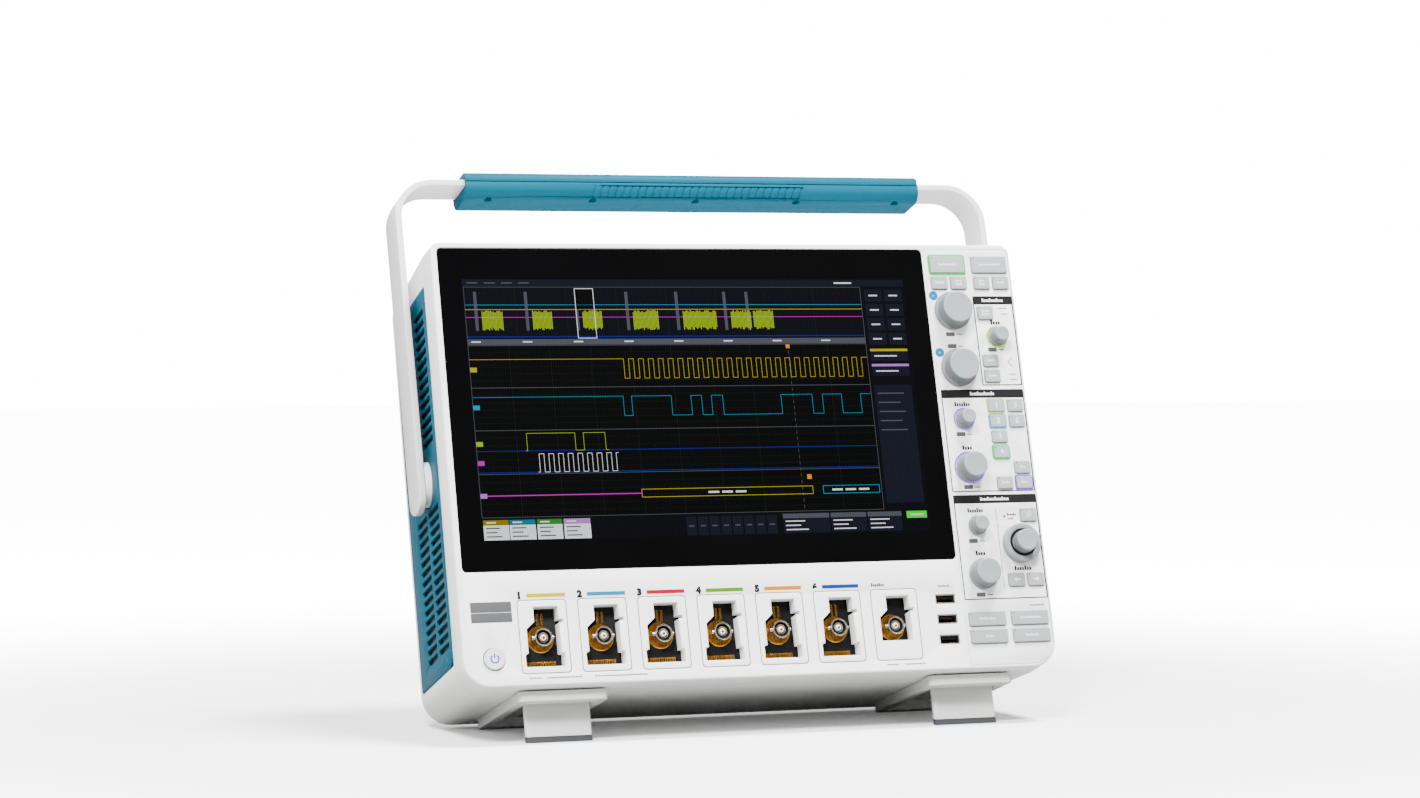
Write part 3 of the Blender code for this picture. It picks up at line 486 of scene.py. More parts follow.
WHITE = moulded("white_case", (0.84, 0.84, 0.83), 0.42)
OVERLAY = moulded("control_overlay", (0.78, 0.78, 0.775), 0.5, 0.25)
BLUE = moulded("blue_trim", (0.0, 0.066, 0.108), 0.5, 0.5, specular=0.05)
GREY_KEY = moulded("key_grey", (0.25, 0.275, 0.285), 0.5, 0.2)
GREY_KNOB = moulded("knob_grey", (0.20, 0.22, 0.23), 0.5, 0.2)
# Darker copy of the knob grey for the knobs' sides: painted shade, since the sides are the same plastic as
# the tops.
KNOB_SIDE_PAINTED_SHADE = moulded("knob_side_painted_shade", (0.125, 0.14, 0.147), 0.55, 0.25)
LIGHT_GREY = moulded("light_grey", (0.62, 0.62, 0.615), 0.45)
STRAP_PAINT = moulded("strap_paint", (0.62, 0.62, 0.615), 0.38, 0.5, coat=0.2)
RUBBER = moulded("pad_rubber", (0.035, 0.038, 0.042), 0.8, 0.6, 0.05)
BLACK = moulded("black_plastic", (0.0025, 0.0025, 0.003), 0.5, 0.3, specular=0.15)
DARK_INK = printed("dark_print", (0.006, 0.006, 0.0055), 0.6)
# Near-black line over the gap round each input: painted shade, not print.
INPUT_GAP_PAINTED_SHADE = printed("input_gap_painted_shade", (0.035, 0.035, 0.035))
GREY_INK = printed("grey_print", (0.06, 0.06, 0.06))
PALE_INK = printed("pale_print", (0.60, 0.61, 0.62), 0.5, 0.5)
BLUE_DOT = printed("blue_print", (0.0, 0.12, 0.24), 0.5, 0.05)
BADGE = moulded("badge_grey", (0.062, 0.064, 0.068), 0.45, 0.2, specular=0.2)
STEEL = brushed("sheet_steel", (0.50, 0.51, 0.52), 0.3)
SILVER = brushed("nickel_plate", (0.44, 0.40, 0.34), 0.22, (1, 40, 1))
BRASS = brushed("brass_contacts", (0.36, 0.165, 0.025), 0.28, (40, 1, 1))
TEFLON = moulded("white_insulator", (0.70, 0.69, 0.65), 0.4, 0.2)
BOARD = moulded("board_green", (0.012, 0.10, 0.045), 0.35, 2)
GLASS = black_glass()


def lens(name, colour):
    return lit(name, colour, 1.6, 0.85, 0.8)


GREEN_LIGHT = lens("green_light", (0.02, 0.75, 0.12))
YELLOW_LIGHT = lens("yellow_light", (0.85, 0.75, 0.01))
CYAN_LIGHT = lens("cyan_light", (0.02, 0.50, 0.90))
LIME_LIGHT = lens("lime_light", (0.42, 0.75, 0.01))
PURPLE_LIGHT = lens("purple_light", (0.30, 0.08, 0.90))
BLUE_LIGHT = lens("blue_light", (0.0, 0.08, 0.75))


# Front panel


def section(depth, inset, top_radius, bottom_radius, low=0.0, high=FACE_HEIGHT, draft=0.0):
    half = HALF_WIDTH - draft - inset
    radii = (bottom_radius, bottom_radius, top_radius, top_radius)
    return [(x, depth, z) for x, z in rounded(-half, half, low + inset, high - inset, radii, 8)]


OVERLAY_SPAN = (134.25, 193.2, 2, 275.5)
OVERLAY_CORNERS = (1, 14.5, 3, 1)
LINE_GAP = 0.22
USB_X = 122.2
USB_HEIGHTS = (45.2, 32.3, 19.3)
POWER_LOW, POWER_HIGH = case_box("key_power")
POWER_X, POWER_Z = (POWER_LOW.x + POWER_HIGH.x) / 2, (POWER_LOW.z + POWER_HIGH.z) / 2
KEY_NAMES = sorted(name for name in frame["nodes"] if name.startswith("key_") and name != "key_power")
KNOB_NAMES = sorted(name for name in frame["nodes"] if name.startswith("knob_") and name != "knob_pan_ring")
KEY_FLANGE = 0.5


def grown(span, by):
    return span[0] - by, span[1] + by, span[2] - by, span[3] + by


def build_bezel():
    """White front frame, open for the glass, the control plate, the inputs and the sockets."""
    edge = 1.4
    sections = [section(BEZEL_DEPTH, 0, 6, 17, -CASE_SAG)]
    for i in range(7):
        angle = math.pi / 2 * i / 6
        inset = edge * (1 - math.cos(angle))
        sections.append(section(edge * (1 - math.sin(angle)), inset, 6 - inset, 17 - inset))
    inside = [section(BEZEL_DEPTH + 1, WALL, 4, 15, WALL - CASE_SAG), section(WALL, WALL, 4, 15)]
    low, high = case_box("touch_glass")
    width, height = FRAME_SIZE
    windows = [centred(x, FRAME_Z, width + LINE_GAP, height + LINE_GAP, 2.1) for x in INPUT_XS]
    windows += [centred(USB_X, z, 13.8, 6.2, 0.5) for z in USB_HEIGHTS]
    windows.append(circle(POWER_X, POWER_Z, 7.1, 48))
    cutters = [
        loft(inside),
        plate([rounded(*grown((low.x, high.x, low.z, high.z), 0.3), 3)], -4, 4),
        plate([rounded(*OVERLAY_SPAN, OVERLAY_CORNERS)], -4, 4),
        together(plate([window], -4, 4) for window in windows),
    ]
    mix = Mix(WHITE).add(carved(loft(sections), cutters, bevel=0.18))
    mix.made("bezel_frame", stands_for=["front_bezel"], slot="white_case")


def key_face(name):
    """Centre x, centre z, width and height of a key's cap, and the depth of its front and its back."""
    low, high = case_box(name)
    width = high.x - low.x - 2 * KEY_FLANGE
    height = high.z - low.z - 2 * KEY_FLANGE
    return (low.x + high.x) / 2, (low.z + high.z) / 2, width, height, low.y, high.y


def build_overlay():
    """Control plate set flush into the bezel, with a hole for every key and knob."""
    holes = []
    for name in KEY_NAMES:
        x, z, width, height, *depths = key_face(name)
        holes.append(centred(x, z, width + 0.5, height + 0.5, 1))
    for name in KNOB_NAMES:
        place = joint_place(name + "_turn")
        holes.append(circle(place.x, place.z, 8.3 if name == "knob_zoom" else 3.5))
    outline = rounded(*grown(OVERLAY_SPAN, -LINE_GAP), OVERLAY_CORNERS)
    Mix(OVERLAY).add(plate([outline, *holes], 0, 1.6, 0.12)).made("control_plate", slot="white_case")


# Prints


def frame_line(x0, x1, z0, z1, width, radius=0.8):
    """A thin printed frame."""
    outer = rounded(x0, x1, z0, z1, radius, 3)
    inner = rounded(x0 + width, x1 - width, z0 + width, z1 - width, radius - width / 2, 3)
    return plate([outer, inner], -INK, UNDER_INK)


def flat(x0, x1, z0, z1, front=0.0):
    """A thin printed rectangle just in front of a surface."""
    return box((x0, front - INK, z0), (x1, front + UNDER_INK, z1))


def sign(points, x, z, size, front=0.0):
    """A thin printed shape, drawn with its points in shares of its size."""
    outline = [(x + size * across, z + size * up) for across, up in points]
    return plate([outline], front - INK, front + UNDER_INK)


def greeked(x, z, width, height, front=0.0):
    """A row of small upright marks that stands in for a printed word."""
    count = max(2, round(width / (height * 0.72)))
    pitch = width / count
    marks = []
    for i in range(count):
        tall = height * (1.3 if i % 4 == 0 else 0.9)
        start = x - width / 2 + i * pitch
        marks.append(flat(start, start + pitch * 0.78, z - height / 2, z - height / 2 + tall, front))
    return together(marks)


ARROW = [(-0.5, 0.12), (0.05, 0.12), (0.05, 0.4), (0.5, 0), (0.05, -0.4), (0.05, -0.12), (-0.5, -0.12)]
ARROW_LEFT = [(-x, z) for x, z in reversed(ARROW)]
TRIANGLE_LEFT = [(-0.4, 0), (0.4, -0.5), (0.4, 0.5)]
SLOPE_SIGN = [(0.5, 1), (-0.5, 0), (0.5, -1), (0.62, -0.9), (-0.3, 0), (0.62, 0.9)]
LENS_STEM = [(-0.7, -0.5), (-0.5, -0.7), (0.1, -0.1), (-0.1, 0.1)]

# Left, right, bottom and top of each section's frame
SECTION_FRAMES = ((165, 193, 184, 244), (135.3, 193, 114, 181.5), (135.3, 193, 44, 112))
# Rows of marks: x, z, width, height and ink
HEADER_WORDS = [(179, 241, 15), (164, 178.5, 17), (164, 109, 20)]
KNOB_WORDS = [(149.3, 171.5, 11), (179.2, 226, 7), (149.3, 142.8, 7)]
KNOB_WORDS += [(149.7, 101.6, 11), (150, 73.8, 7), (178.2, 63.4, 12)]
SMALL_WORDS = [(173.5, 96, 4, 1.1), (184.5, 39.5, 10, 1), (122, 53.5, 8, 1.2)]
SMALL_WORDS += [(x, 4.6, width, 0.9) for x, width in ((-150, 8), (-132, 22), (-96, 34), (82, 8), (97, 14))]
PUSH_SIGNS = ((146.7, 218.5), (147, 210.5), (175, 208), (146, 152), (147, 117.2), (146, 82), (147, 47.2))
LAMP_MARKS = ((182.5, 235.4, 6), (184, 231.6, 5), (184.6, 191.2, 5), (184.6, 187.6, 5))


def build_prints():
    """Section frames, header bars, small signs and marks printed on the control plate and bezel."""
    ink = Mix(DARK_INK, GREY_INK, PALE_INK)
    for x0, x1, z0, z1 in SECTION_FRAMES:
        ink.add(frame_line(x0, x1, z0, z1, 0.75))
        ink.add(plate([rounded(x0, x1, z1 - 5.6, z1, (0.2, 0.2, 0.8, 0.8), 3)], -1.5 * INK, UNDER_INK))
    ink.add(flat(163.55, 163.95, 51, 103), GREY_INK)
    for x, z, width in HEADER_WORDS:
        ink.add(greeked(x, z, width, 1.7, -1.5 * INK), PALE_INK)
    for x, z, width in KNOB_WORDS:
        ink.add(greeked(x, z, width, 2.3))
    ink.add(sign(TRIANGLE_LEFT, 169, 97.6, 2.2))
    ink.add(greeked(174.5, 98.6, 6.5, 1.4))
    ink.add(greeked(INPUT_XS[-1] - 10, 55.3, 9, 1.8))
    for words in SMALL_WORDS:
        ink.add(greeked(*words), GREY_INK)
    for x, z in PUSH_SIGNS:
        ink.add(plate([centred(x, z, 6.2, 2.8, 0.6, 3)], -INK, UNDER_INK), GREY_INK)
        ink.add(flat(x + 4, x + 8, z - 0.4, z + 0.2), GREY_INK)
    for x, z, width in LAMP_MARKS:
        ink.add(flat(x, x + width, z, z + 0.6), GREY_INK)
    ink.add(sign(SLOPE_SIGN, 186, 199.5, 3.2), GREY_INK)
    ink.made("panel_print", slot="black_plastic")
    dots = Mix(BLUE_DOT)
    for z in (244.3, 206.3):
        dots.add(ring(0.35, 3.1, -INK, UNDER_INK, (137.8, 0, z)))
    dots.made("knob_markers")


# Keys and knobs


LIT_KEYS = {
    "key_run_stop": GREEN_LIGHT,
    "key_channel_1": YELLOW_LIGHT,
    "key_channel_2": CYAN_LIGHT,
    "key_channel_4": GREEN_LIGHT,
    "key_bus": PURPLE_LIGHT,
}
LIT_KNOBS = {
    "knob_trigger_level": LIME_LIGHT,
    "knob_vertical_position": PURPLE_LIGHT,
    "knob_vertical_scale": PURPLE_LIGHT,
}
# Width of the marks on a key, in one row or in two
KEY_WORDS = {
    "run_stop": 13, "single": 15, "cursors": 6.5, "clear": 5, "slope": 5, "trigger_mode": 5.5,
    "reference": 3.5, "math": 5, "bus": 3.5, "touch_off": 11, "default_setup": 14, "save": 6, "autoset": 9,
}
TWO_ROW_WORDS = {"fast_acquisition": 4.5, "high_resolution": 4, "force_trigger": 5}


def key_marks(name, x, z, face):
    """What is printed on a key: a digit, an arrow, a lens or rows of marks."""
    word = name.removeprefix("key_")
    if word.startswith("channel_"):
        return [lettering(word[-1], x, z, 5, face, 0.1)]
    if word.startswith("navigate_"):
        return [sign(ARROW_LEFT if word.endswith("left") else ARROW, x, z, 4.2, face)]
    if word == "zoom":
        lens_ring = ring(0.9, 1.4, -INK, UNDER_INK, (x + 0.5, face, z + 0.5), 24)
        return [lens_ring, sign(LENS_STEM, x - 0.5, z - 0.5, 2.2, face)]
    if word in TWO_ROW_WORDS:
        return [greeked(x, z + row, TWO_ROW_WORDS[word], 1.25, face) for row in (1.1, -1.1)]
    return [greeked(x, z, KEY_WORDS[word], 1.25, face)]


def build_keys():
    for name in KEY_NAMES:
        x, z, width, height, front, back = key_face(name)
        key = Mix(GREY_KEY, PALE_INK, DARK_INK)
        key.add(plate([centred(x, z, width, height, 0.9)], front, back, 0.35, resolution=2))
        lamp_x, lamp_z = x - width / 2 + 1.1, z + height / 2 - 1.1
        key.add(flat(lamp_x - 0.35, lamp_x + 0.35, lamp_z - 0.35, lamp_z + 0.35, front), DARK_INK)
        for mark in key_marks(name, x, z, front):
            key.add(mark, PALE_INK)
        key.made(name + "_cap", name, [name], "key_grey")
    for name, light in LIT_KEYS.items():
        x, z, width, height, *depths = key_face(name)
        reach = 2.6 if name == "key_run_stop" else 2.1
        outer = centred(x, z, width + reach, height + reach, 1.7)
        inner = centred(x, z, width + 0.2, height + 0.2, 0.95)
        Mix(light).add(plate([outer, inner], -0.25, 0.05, 0.08)).made(name + "_light")


def build_power_button():
    low, high = POWER_LOW, POWER_HIGH
    radius = 6.5
    profile = [(0, -low.y - 0.25), (radius - 1.8, -low.y - 0.1), (radius - 0.9, -low.y)]
    profile += arc((radius - 0.5, -low.y - 0.5), 0.5, 90, 0, 4)
    profile += [(radius, -high.y), (0, -high.y)]
    power = Mix(LIGHT_GREY, BLUE_LIGHT).add(turned(profile, (POWER_X, 0, POWER_Z)))
    face = low.y + 0.2
    symbol = arc((POWER_X, POWER_Z), 2.9, 125, 415, 20) + arc((POWER_X, POWER_Z), 2.05, 415, 125, 20)
    power.add(plate([symbol], face - 2 * INK, face + 0.1), BLUE_LIGHT)
    power.add(block(POWER_X, POWER_Z + 1.95, 0.42, 1.35, face - 2 * INK, face + 0.1), BLUE_LIGHT)
    power.made("power_button", "key_power", ["key_power"], "light_grey")


def knob_sizes(name):
    """Skirt radius, cap radius and height of a knob, and how far its shaft reaches into the case."""
    low, high = case_box(name)
    place = joint_place(name + "_turn")
    points = [CASE.inverted() @ vertex.co for vertex in frame["nodes"][name].data.vertices]
    top = [Vector((p.x - place.x, p.z - place.z)).length for p in points if p.y < low.y + 1]
    return (high.x - low.x) / 2, max(top), -low.y, high.y


def knob_profile(skirt, cap, height, shaft, base):
    profile = [(0, height - 0.25), (cap * 0.55, height - 0.18), (cap - 1.1, height)]
    profile += arc((cap - 0.75, height - 0.75), 0.75, 90, 5, 5)
    profile += [(cap + 0.3, base + 2.4)]
    if skirt > cap + 1:
        profile += [(cap + 0.7, base + 1.9), (skirt - 0.5, base + 1.6)]
        profile += arc((skirt - 0.4, base + 1.2), 0.4, 80, 0, 3)
    return profile + [(skirt, base + 0.3), (skirt - 0.3, base), (3, base), (3, -shaft), (0, -shaft)]


def build_knobs():
    for name in KNOB_NAMES:
        axis = joint_place(name + "_turn")
        skirt, cap, height, shaft = knob_sizes(name)
        profile = knob_profile(skirt, cap, height, shaft, 5.5 if name == "knob_zoom" else 0.5)
        crown = [point for point in profile if point[1] >= height - 0.8]
        body = [point for point in profile if point[1] < height - 0.8]
        seam = (0, crown[-1][1])
        # The sides below the crown get the darker copy of the knob grey as painted shade.
        knob = Mix(GREY_KNOB, KNOB_SIDE_PAINTED_SHADE)
        knob.add(turned([*crown, seam], (axis.x, 0, axis.z), steps=72))
        knob.add(turned([seam, crown[-1], *body], (axis.x, 0, axis.z), steps=72), KNOB_SIDE_PAINTED_SHADE)
        knob.made(name + "_cap", name, [name], "knob_grey")
        if name in LIT_KNOBS:
            glow = ring(skirt + 0.1, skirt + 1, -0.15, 0.05, (axis.x, 0, axis.z), 64)
            Mix(LIT_KNOBS[name]).add(glow).made(name + "_light")


def build_pan_ring():
    """The sprung ring round the zoom knob, with a black ring in the gap between the two as painted shade."""
    axis = joint_place("knob_zoom_turn")
    low, high = case_box("knob_pan_ring")
    outer, height = (high.x - low.x) / 2, -low.y
    profile = [(3.5, height - 0.8), (8.2, height - 0.8), (8.9, height - 0.25)]
    profile += [(9.3, height), (outer - 1, height - 0.05)]
    profile += arc((outer - 0.8, height - 0.85), 0.8, 90, 5, 4)
    profile += [(outer, 0.8), (outer - 0.3, 0.5), (7.8, 0.5), (7.8, -high.y), (3.5, -high.y), profile[0]]
    pan = Mix(GREY_KNOB, BLACK)
    pan.add(turned(profile, (axis.x, 0, axis.z), steps=72))
    # Black ring in the gap under the knob's skirt: painted shade.
    pan.add(ring(7.4, 9, 0.2 - height, 0.78 - height, (axis.x, 0, axis.z), 64), BLACK)
    pan.made("pan_ring", "knob_pan_ring", ["knob_pan_ring"], "knob_grey")


# Display


def build_glass():
    low, high = case_box("touch_glass")
    outline = rounded(low.x, high.x, low.z, high.z, 3, 6)
    glass = Mix(GLASS).add(plate([outline], low.y, high.y, 0.3, resolution=2))
    glass.made("display_glass", stands_for=["touch_glass"], slot="black_glass")


SCREEN_SIZE = (293.8, 165.2)
SCREEN_BORDER = (14.35, 20.25)
SCREEN_GRID = 26.3
STRIP_MARKS = 32.9
LAYER = 0.008
BACKGROUND = lit("screen_background", (0.0010, 0.0014, 0.003))
OVERVIEW_AREA = lit("screen_overview_area", (0.0022, 0.0022, 0.0055))
GRAPH_AREA = lit("screen_graph_area", (0.0002, 0.0003, 0.0004))
GRID_GREY = lit("screen_grid", (0.007, 0.008, 0.009))
PANEL_GREY = lit("screen_panels", (0.05, 0.055, 0.07))
BUTTON = lit("screen_buttons", (0.005, 0.006, 0.013))
PALE = lit("screen_white", (0.60, 0.62, 0.65))
YELLOW = lit("screen_yellow", (0.34, 0.28, 0.0))
CYAN = lit("screen_cyan", (0.0, 0.20, 0.32))
LIME = lit("screen_lime", (0.24, 0.36, 0.0))
GREEN = lit("screen_green", (0.0, 0.55, 0.01), 1.2)
MAGENTA = lit("screen_magenta", (0.36, 0.0, 0.34))
BLUE_TRACE = lit("screen_blue", (0.004, 0.008, 0.22))
OLIVE = lit("screen_olive", (0.16, 0.13, 0.0))
TEAL = lit("screen_teal", (0.0, 0.12, 0.17))
LEAF = lit("screen_leaf", (0.015, 0.16, 0.015))
AMBER = lit("screen_amber", (0.55, 0.20, 0.0))
LILAC = lit("screen_lilac", (0.32, 0.12, 0.46))


class Screen:
    """Draws from the lit area's top left corner, across and down, in layers."""

    def __init__(self):
        low, high = case_box("touch_glass")
        self.left = low.x + SCREEN_BORDER[0]
        self.top = high.z - SCREEN_BORDER[1]
        self.parts = {}

    def fill(self, colour, layer, u0, v0, u1, v1):
        front = -layer * LAYER
        low = (self.left + u0, front - LAYER, self.top - v1)
        high = (self.left + u1, front, self.top - v0)
        self.parts.setdefault(colour, Mix(colour)).add(box(low, high))

    def line(self, colour, layer, points, width):
        """A stroke made of level and upright runs."""
        for (u0, v0), (u1, v1) in zip(points, points[1:]):
            low_u, high_u, low_v, high_v = grown((*sorted((u0, u1)), *sorted((v0, v1))), width / 2)
            self.fill(colour, layer, low_u, low_v, high_u, high_v)

    def level(self, colour, layer, v, width, end=263):
        self.line(colour, layer, [(1, v), (end, v)], width)

    def outline(self, colour, layer, u0, v0, u1, v1, width=0.35):
        self.line(colour, layer, [(u0, v0), (u1, v0), (u1, v1), (u0, v1), (u0, v0)], width)

    def square_wave(self, colour, edges, high, low, start, end, begins_high=True, width=0.32):
        """A trace that changes level at each edge."""
        level, other = (high, low) if begins_high else (low, high)
        points = [(start, level)]
        for edge in edges:
            points += [(edge, level), (edge, other)]
            level, other = other, level
        self.line(colour, 6, [*points, (end, level)], width)

    def finish(self):
        for colour, mix in self.parts.items():
            mix.made(colour.name)


def build_screen():
    """A made-up measurement: an overview strip, four lanes of traces, a bus lane and plain tiles."""
    screen = Screen()
    screen.fill(BACKGROUND, 1, 0, 0, *SCREEN_SIZE)
    screen.fill(BUTTON, 2, 0, 0, SCREEN_SIZE[0], 4.5)
    for u in (3, 14, 25, 36):
        screen.fill(PANEL_GREY, 3, u, 1.9, u + 7, 2.7)
    screen.fill(PALE, 3, 246, 1.7, 258, 2.7)
    build_overview(screen)
    build_lanes(screen)
    build_bottom_tiles(screen)
    build_side_tiles(screen)
    screen.finish()


def build_overview(screen):
    screen.fill(OVERVIEW_AREA, 2, 0.6, 5, 263.5, 42)
    screen.outline(PANEL_GREY, 3, 0.6, 5, 263.5, 42)
    traces = ((CYAN, 16.5, 0.4), (YELLOW, 19.5, 0.4), (MAGENTA, 24.5, 0.4), (BLUE_TRACE, 37, 0.5))
    for colour, v, width in traces:
        screen.level(colour, 4, v, width)
    bursts = ((11, 24), (43.5, 56), (76, 88), (109, 125), (142, 164), (174, 187), (189, 202))
    for start, end in bursts:
        u = start
        while u < end:
            screen.fill(LIME, 5, u, 20 + random.uniform(0, 1.5), u + 0.55, 33 - random.uniform(0, 2))
            u += 0.8
        screen.fill(PANEL_GREY, 4, start - 4.5, 8, start - 2.5, 33)
    for i in range(1, 8):
        screen.fill(GRID_GREY, 3, i * STRIP_MARKS, 6, i * STRIP_MARKS + 0.3, 38)
    screen.fill(GRAPH_AREA, 4, 72, 6, 84, 20)
    screen.outline(PALE, 6, 72, 6, 84, 38, 0.4)
    screen.fill(PANEL_GREY, 4, 0.6, 38.5, 263.5, 42)
    for i in range(8):
        screen.fill(PALE, 5, 3 + i * STRIP_MARKS, 39.8, 9 + i * STRIP_MARKS, 40.6)


def build_lanes(screen):
    screen.fill(GRAPH_AREA, 2, 0.6, 42.6, 263.5, 151)
    screen.outline(PANEL_GREY, 3, 0.6, 42.6, 263.5, 151)
    for i in range(1, 10):
        screen.fill(GRID_GREY, 3, i * SCREEN_GRID, 43, i * SCREEN_GRID + 0.25, 151)
    for v in (69.5, 96.5, 124):
        screen.fill(PANEL_GREY, 4, 0.6, v - 0.2, 263.5, v + 0.2)
    marks = (47, 51, 56, 60.5, 65, 74, 79, 83.5, 88, 92, 101, 106, 110, 115, 119.5)
    for v in (*marks, 129, 133.5, 138, 142.5, 147):
        screen.fill(GRID_GREY, 3, 0.6, v, 263.5, v + 0.15)
    screen.square_wave(YELLOW, [100 + i * 3.25 for i in range(50)], 51.5, 64, 1, 263)
    edges = (97.5, 103, 129, 142, 149, 155.5, 163, 202, 223, 230, 243, 256)
    screen.square_wave(CYAN, edges, 75.5, 88, 1, 263)
    screen.level(BLUE_TRACE, 5, 109.5, 0.4)
    screen.level(BLUE_TRACE, 5, 123, 0.4)
    screen.square_wave(LIME, (33, 64, 69.5, 83.5), 98.5, 109.5, 32, 85, False)
    screen.square_wave(PALE, [40 + i * 3.1 for i in range(17)], 111.5, 123, 39, 91, False, 0.3)
    screen.level(MAGENTA, 6, 137.5, 0.7, 104)
    for colour, u0, u1 in ((YELLOW, 104, 217), (CYAN, 224, 262)):
        screen.outline(colour, 6, u0, 135, u1, 140, 0.4)
        for middle in ((u0 + u1) / 2 - 9, (u0 + u1) / 2, (u0 + u1) / 2 + 9):
            screen.fill(PALE, 7, middle - 4, 137, middle + 3, 138.2)
    for i in range(27):
        screen.fill(PANEL_GREY, 5, 210, 43 + i * 4, 210.3, 45 + i * 4)
    screen.fill(AMBER, 7, 208.7, 42.8, 211.3, 45.2)
    screen.fill(AMBER, 7, 214, 127.5, 217, 130.5)
    for colour, v in ((YELLOW, 58), (CYAN, 82), (LIME, 105), (MAGENTA, 117), (LILAC, 137.5)):
        screen.fill(colour, 8, 0.8, v - 1.5, 5, v + 1.5)


def build_bottom_tiles(screen):
    for colour, u0, u1 in ((OLIVE, 1, 17), (TEAL, 17.5, 34), (LEAF, 35, 51), (LILAC, 52, 69)):
        screen.fill(colour, 3, u0, 152.5, u1, 155.8)
        screen.fill(PALE, 3, u0, 155.8, u1, 165)
        screen.fill(PALE, 4, u0 + 2, 153.7, u0 + 8, 154.5)
        for v, length in ((157.2, 9), (159.8, 7), (162.4, 10)):
            screen.fill(PANEL_GREY, 4, u0 + 1.5, v, u0 + 1.5 + length, v + 0.8)
    for i in range(8):
        screen.fill(BUTTON, 3, 131 + i * 7.6, 153, 137.6 + i * 7.6, 165)
        screen.fill(PANEL_GREY, 4, 132.6 + i * 7.6, 158.5, 136 + i * 7.6, 159.4)
    for u0, u1 in ((195, 226), (227, 251), (252, 275)):
        screen.fill(BUTTON, 3, u0, 152.5, u1, 165)
        screen.fill(PANEL_GREY, 4, u0, 152.5, u1, 155.5)
        for v, length in ((157, 13), (159.7, 10), (162.4, 15)):
            screen.fill(PALE, 4, u0 + 1.5, v, u0 + 1.5 + length, v + 0.7)
    screen.fill(GREEN, 3, 278.5, 152.5, 292.3, 157)
    screen.fill(PALE, 4, 281, 154.4, 290, 155.1)


def build_side_tiles(screen):
    for v in (6.5, 16.1, 25.7, 35.3):
        for u in (266, 279.8):
            screen.fill(BUTTON, 3, u, v, u + 12.2, v + 8)
            screen.fill(PALE, 4, u + 3, v + 3.6, u + 9, v + 4.5)
    for colour, v in ((YELLOW, 46), (LILAC, 56)):
        screen.fill(BUTTON, 3, 266, v, 291.6, v + 8)
        screen.fill(colour, 4, 266, v, 291.6, v + 1.6)
        screen.fill(PALE, 4, 268.5, v + 4.3, 284, v + 5.1)
    screen.fill(BUTTON, 3, 266, 70, 291.6, 147)
    for v, end in ((75, 286), (81, 283), (87, 286), (93, 283), (99, 286)):
        screen.fill(PANEL_GREY, 4, 268, v, end, v + 0.8)


# Inputs and sockets


def input_cutout(x, auxiliary):
    """Opening round one input, about the connector's axis: neck, shoulders, side slot and base."""
    points = [(-5.5, 18.8), (-5.5, 9.5), (-10.6, 5), (-10.6, -9.8)]
    if not auxiliary:
        points += [(-12.6, -9.8), (-12.6, -18.2), (12.4, -18.2), (12.4, -9.8)]
    points += [(10.4, -9.8), (10.2, 8.6), (13, 8.8), (13, 11), (10.1, 11), (10, 18.8)]
    return [(x + across, INPUT_Z + up) for across, up in points]


def build_inputs():
    """Seven coaxial sockets, each deep in a white surround in front of one black carrier."""
    surrounds = Mix(WHITE)
    metal = Mix(SILVER, BRASS, TEFLON, BLACK)
    width, height = FRAME_SIZE
    for x in INPUT_XS:
        outer = centred(x, FRAME_Z, width - LINE_GAP, height - LINE_GAP, 2)
        surrounds.add(plate([outer, input_cutout(x, x == INPUT_XS[-1])], -0.02, 9.3, 0.2))
        add_coaxial_socket(metal, x)
    contacts = Mix(BRASS)
    for x in INPUT_XS[:-1]:
        for row in range(6):
            for across in (-0.8, 2):
                z = INPUT_Z + 9.2 + row * 1.25
                contacts.add(block(x + across, z, 0.75, 0.38, 8.6, CARRIER_Y + 0.2, 0.12))
        for pin in range(15):
            across = -9.4 + pin * 1.25
            contacts.add(block(x + across, INPUT_Z - 15.2, 0.38, 1.5, 8.4, CARRIER_Y + 0.2, 0.12))
    low, high = case_box("input_connectors")
    carrier = Mix(BLACK).add(box((low.x, CARRIER_Y, low.z), high, 0.6))
    surrounds.made("input_surrounds", slot="white_case")
    carrier.made("input_carrier", stands_for=["input_connectors"], slot="black_plastic")
    metal.made("coaxial_sockets", slot="brass_contacts")
    contacts.made("probe_contacts", slot="brass_contacts")


SOCKET_FLOOR = -8
SOCKET_OUTER = 5.5
SOCKET_BORE = 4.5


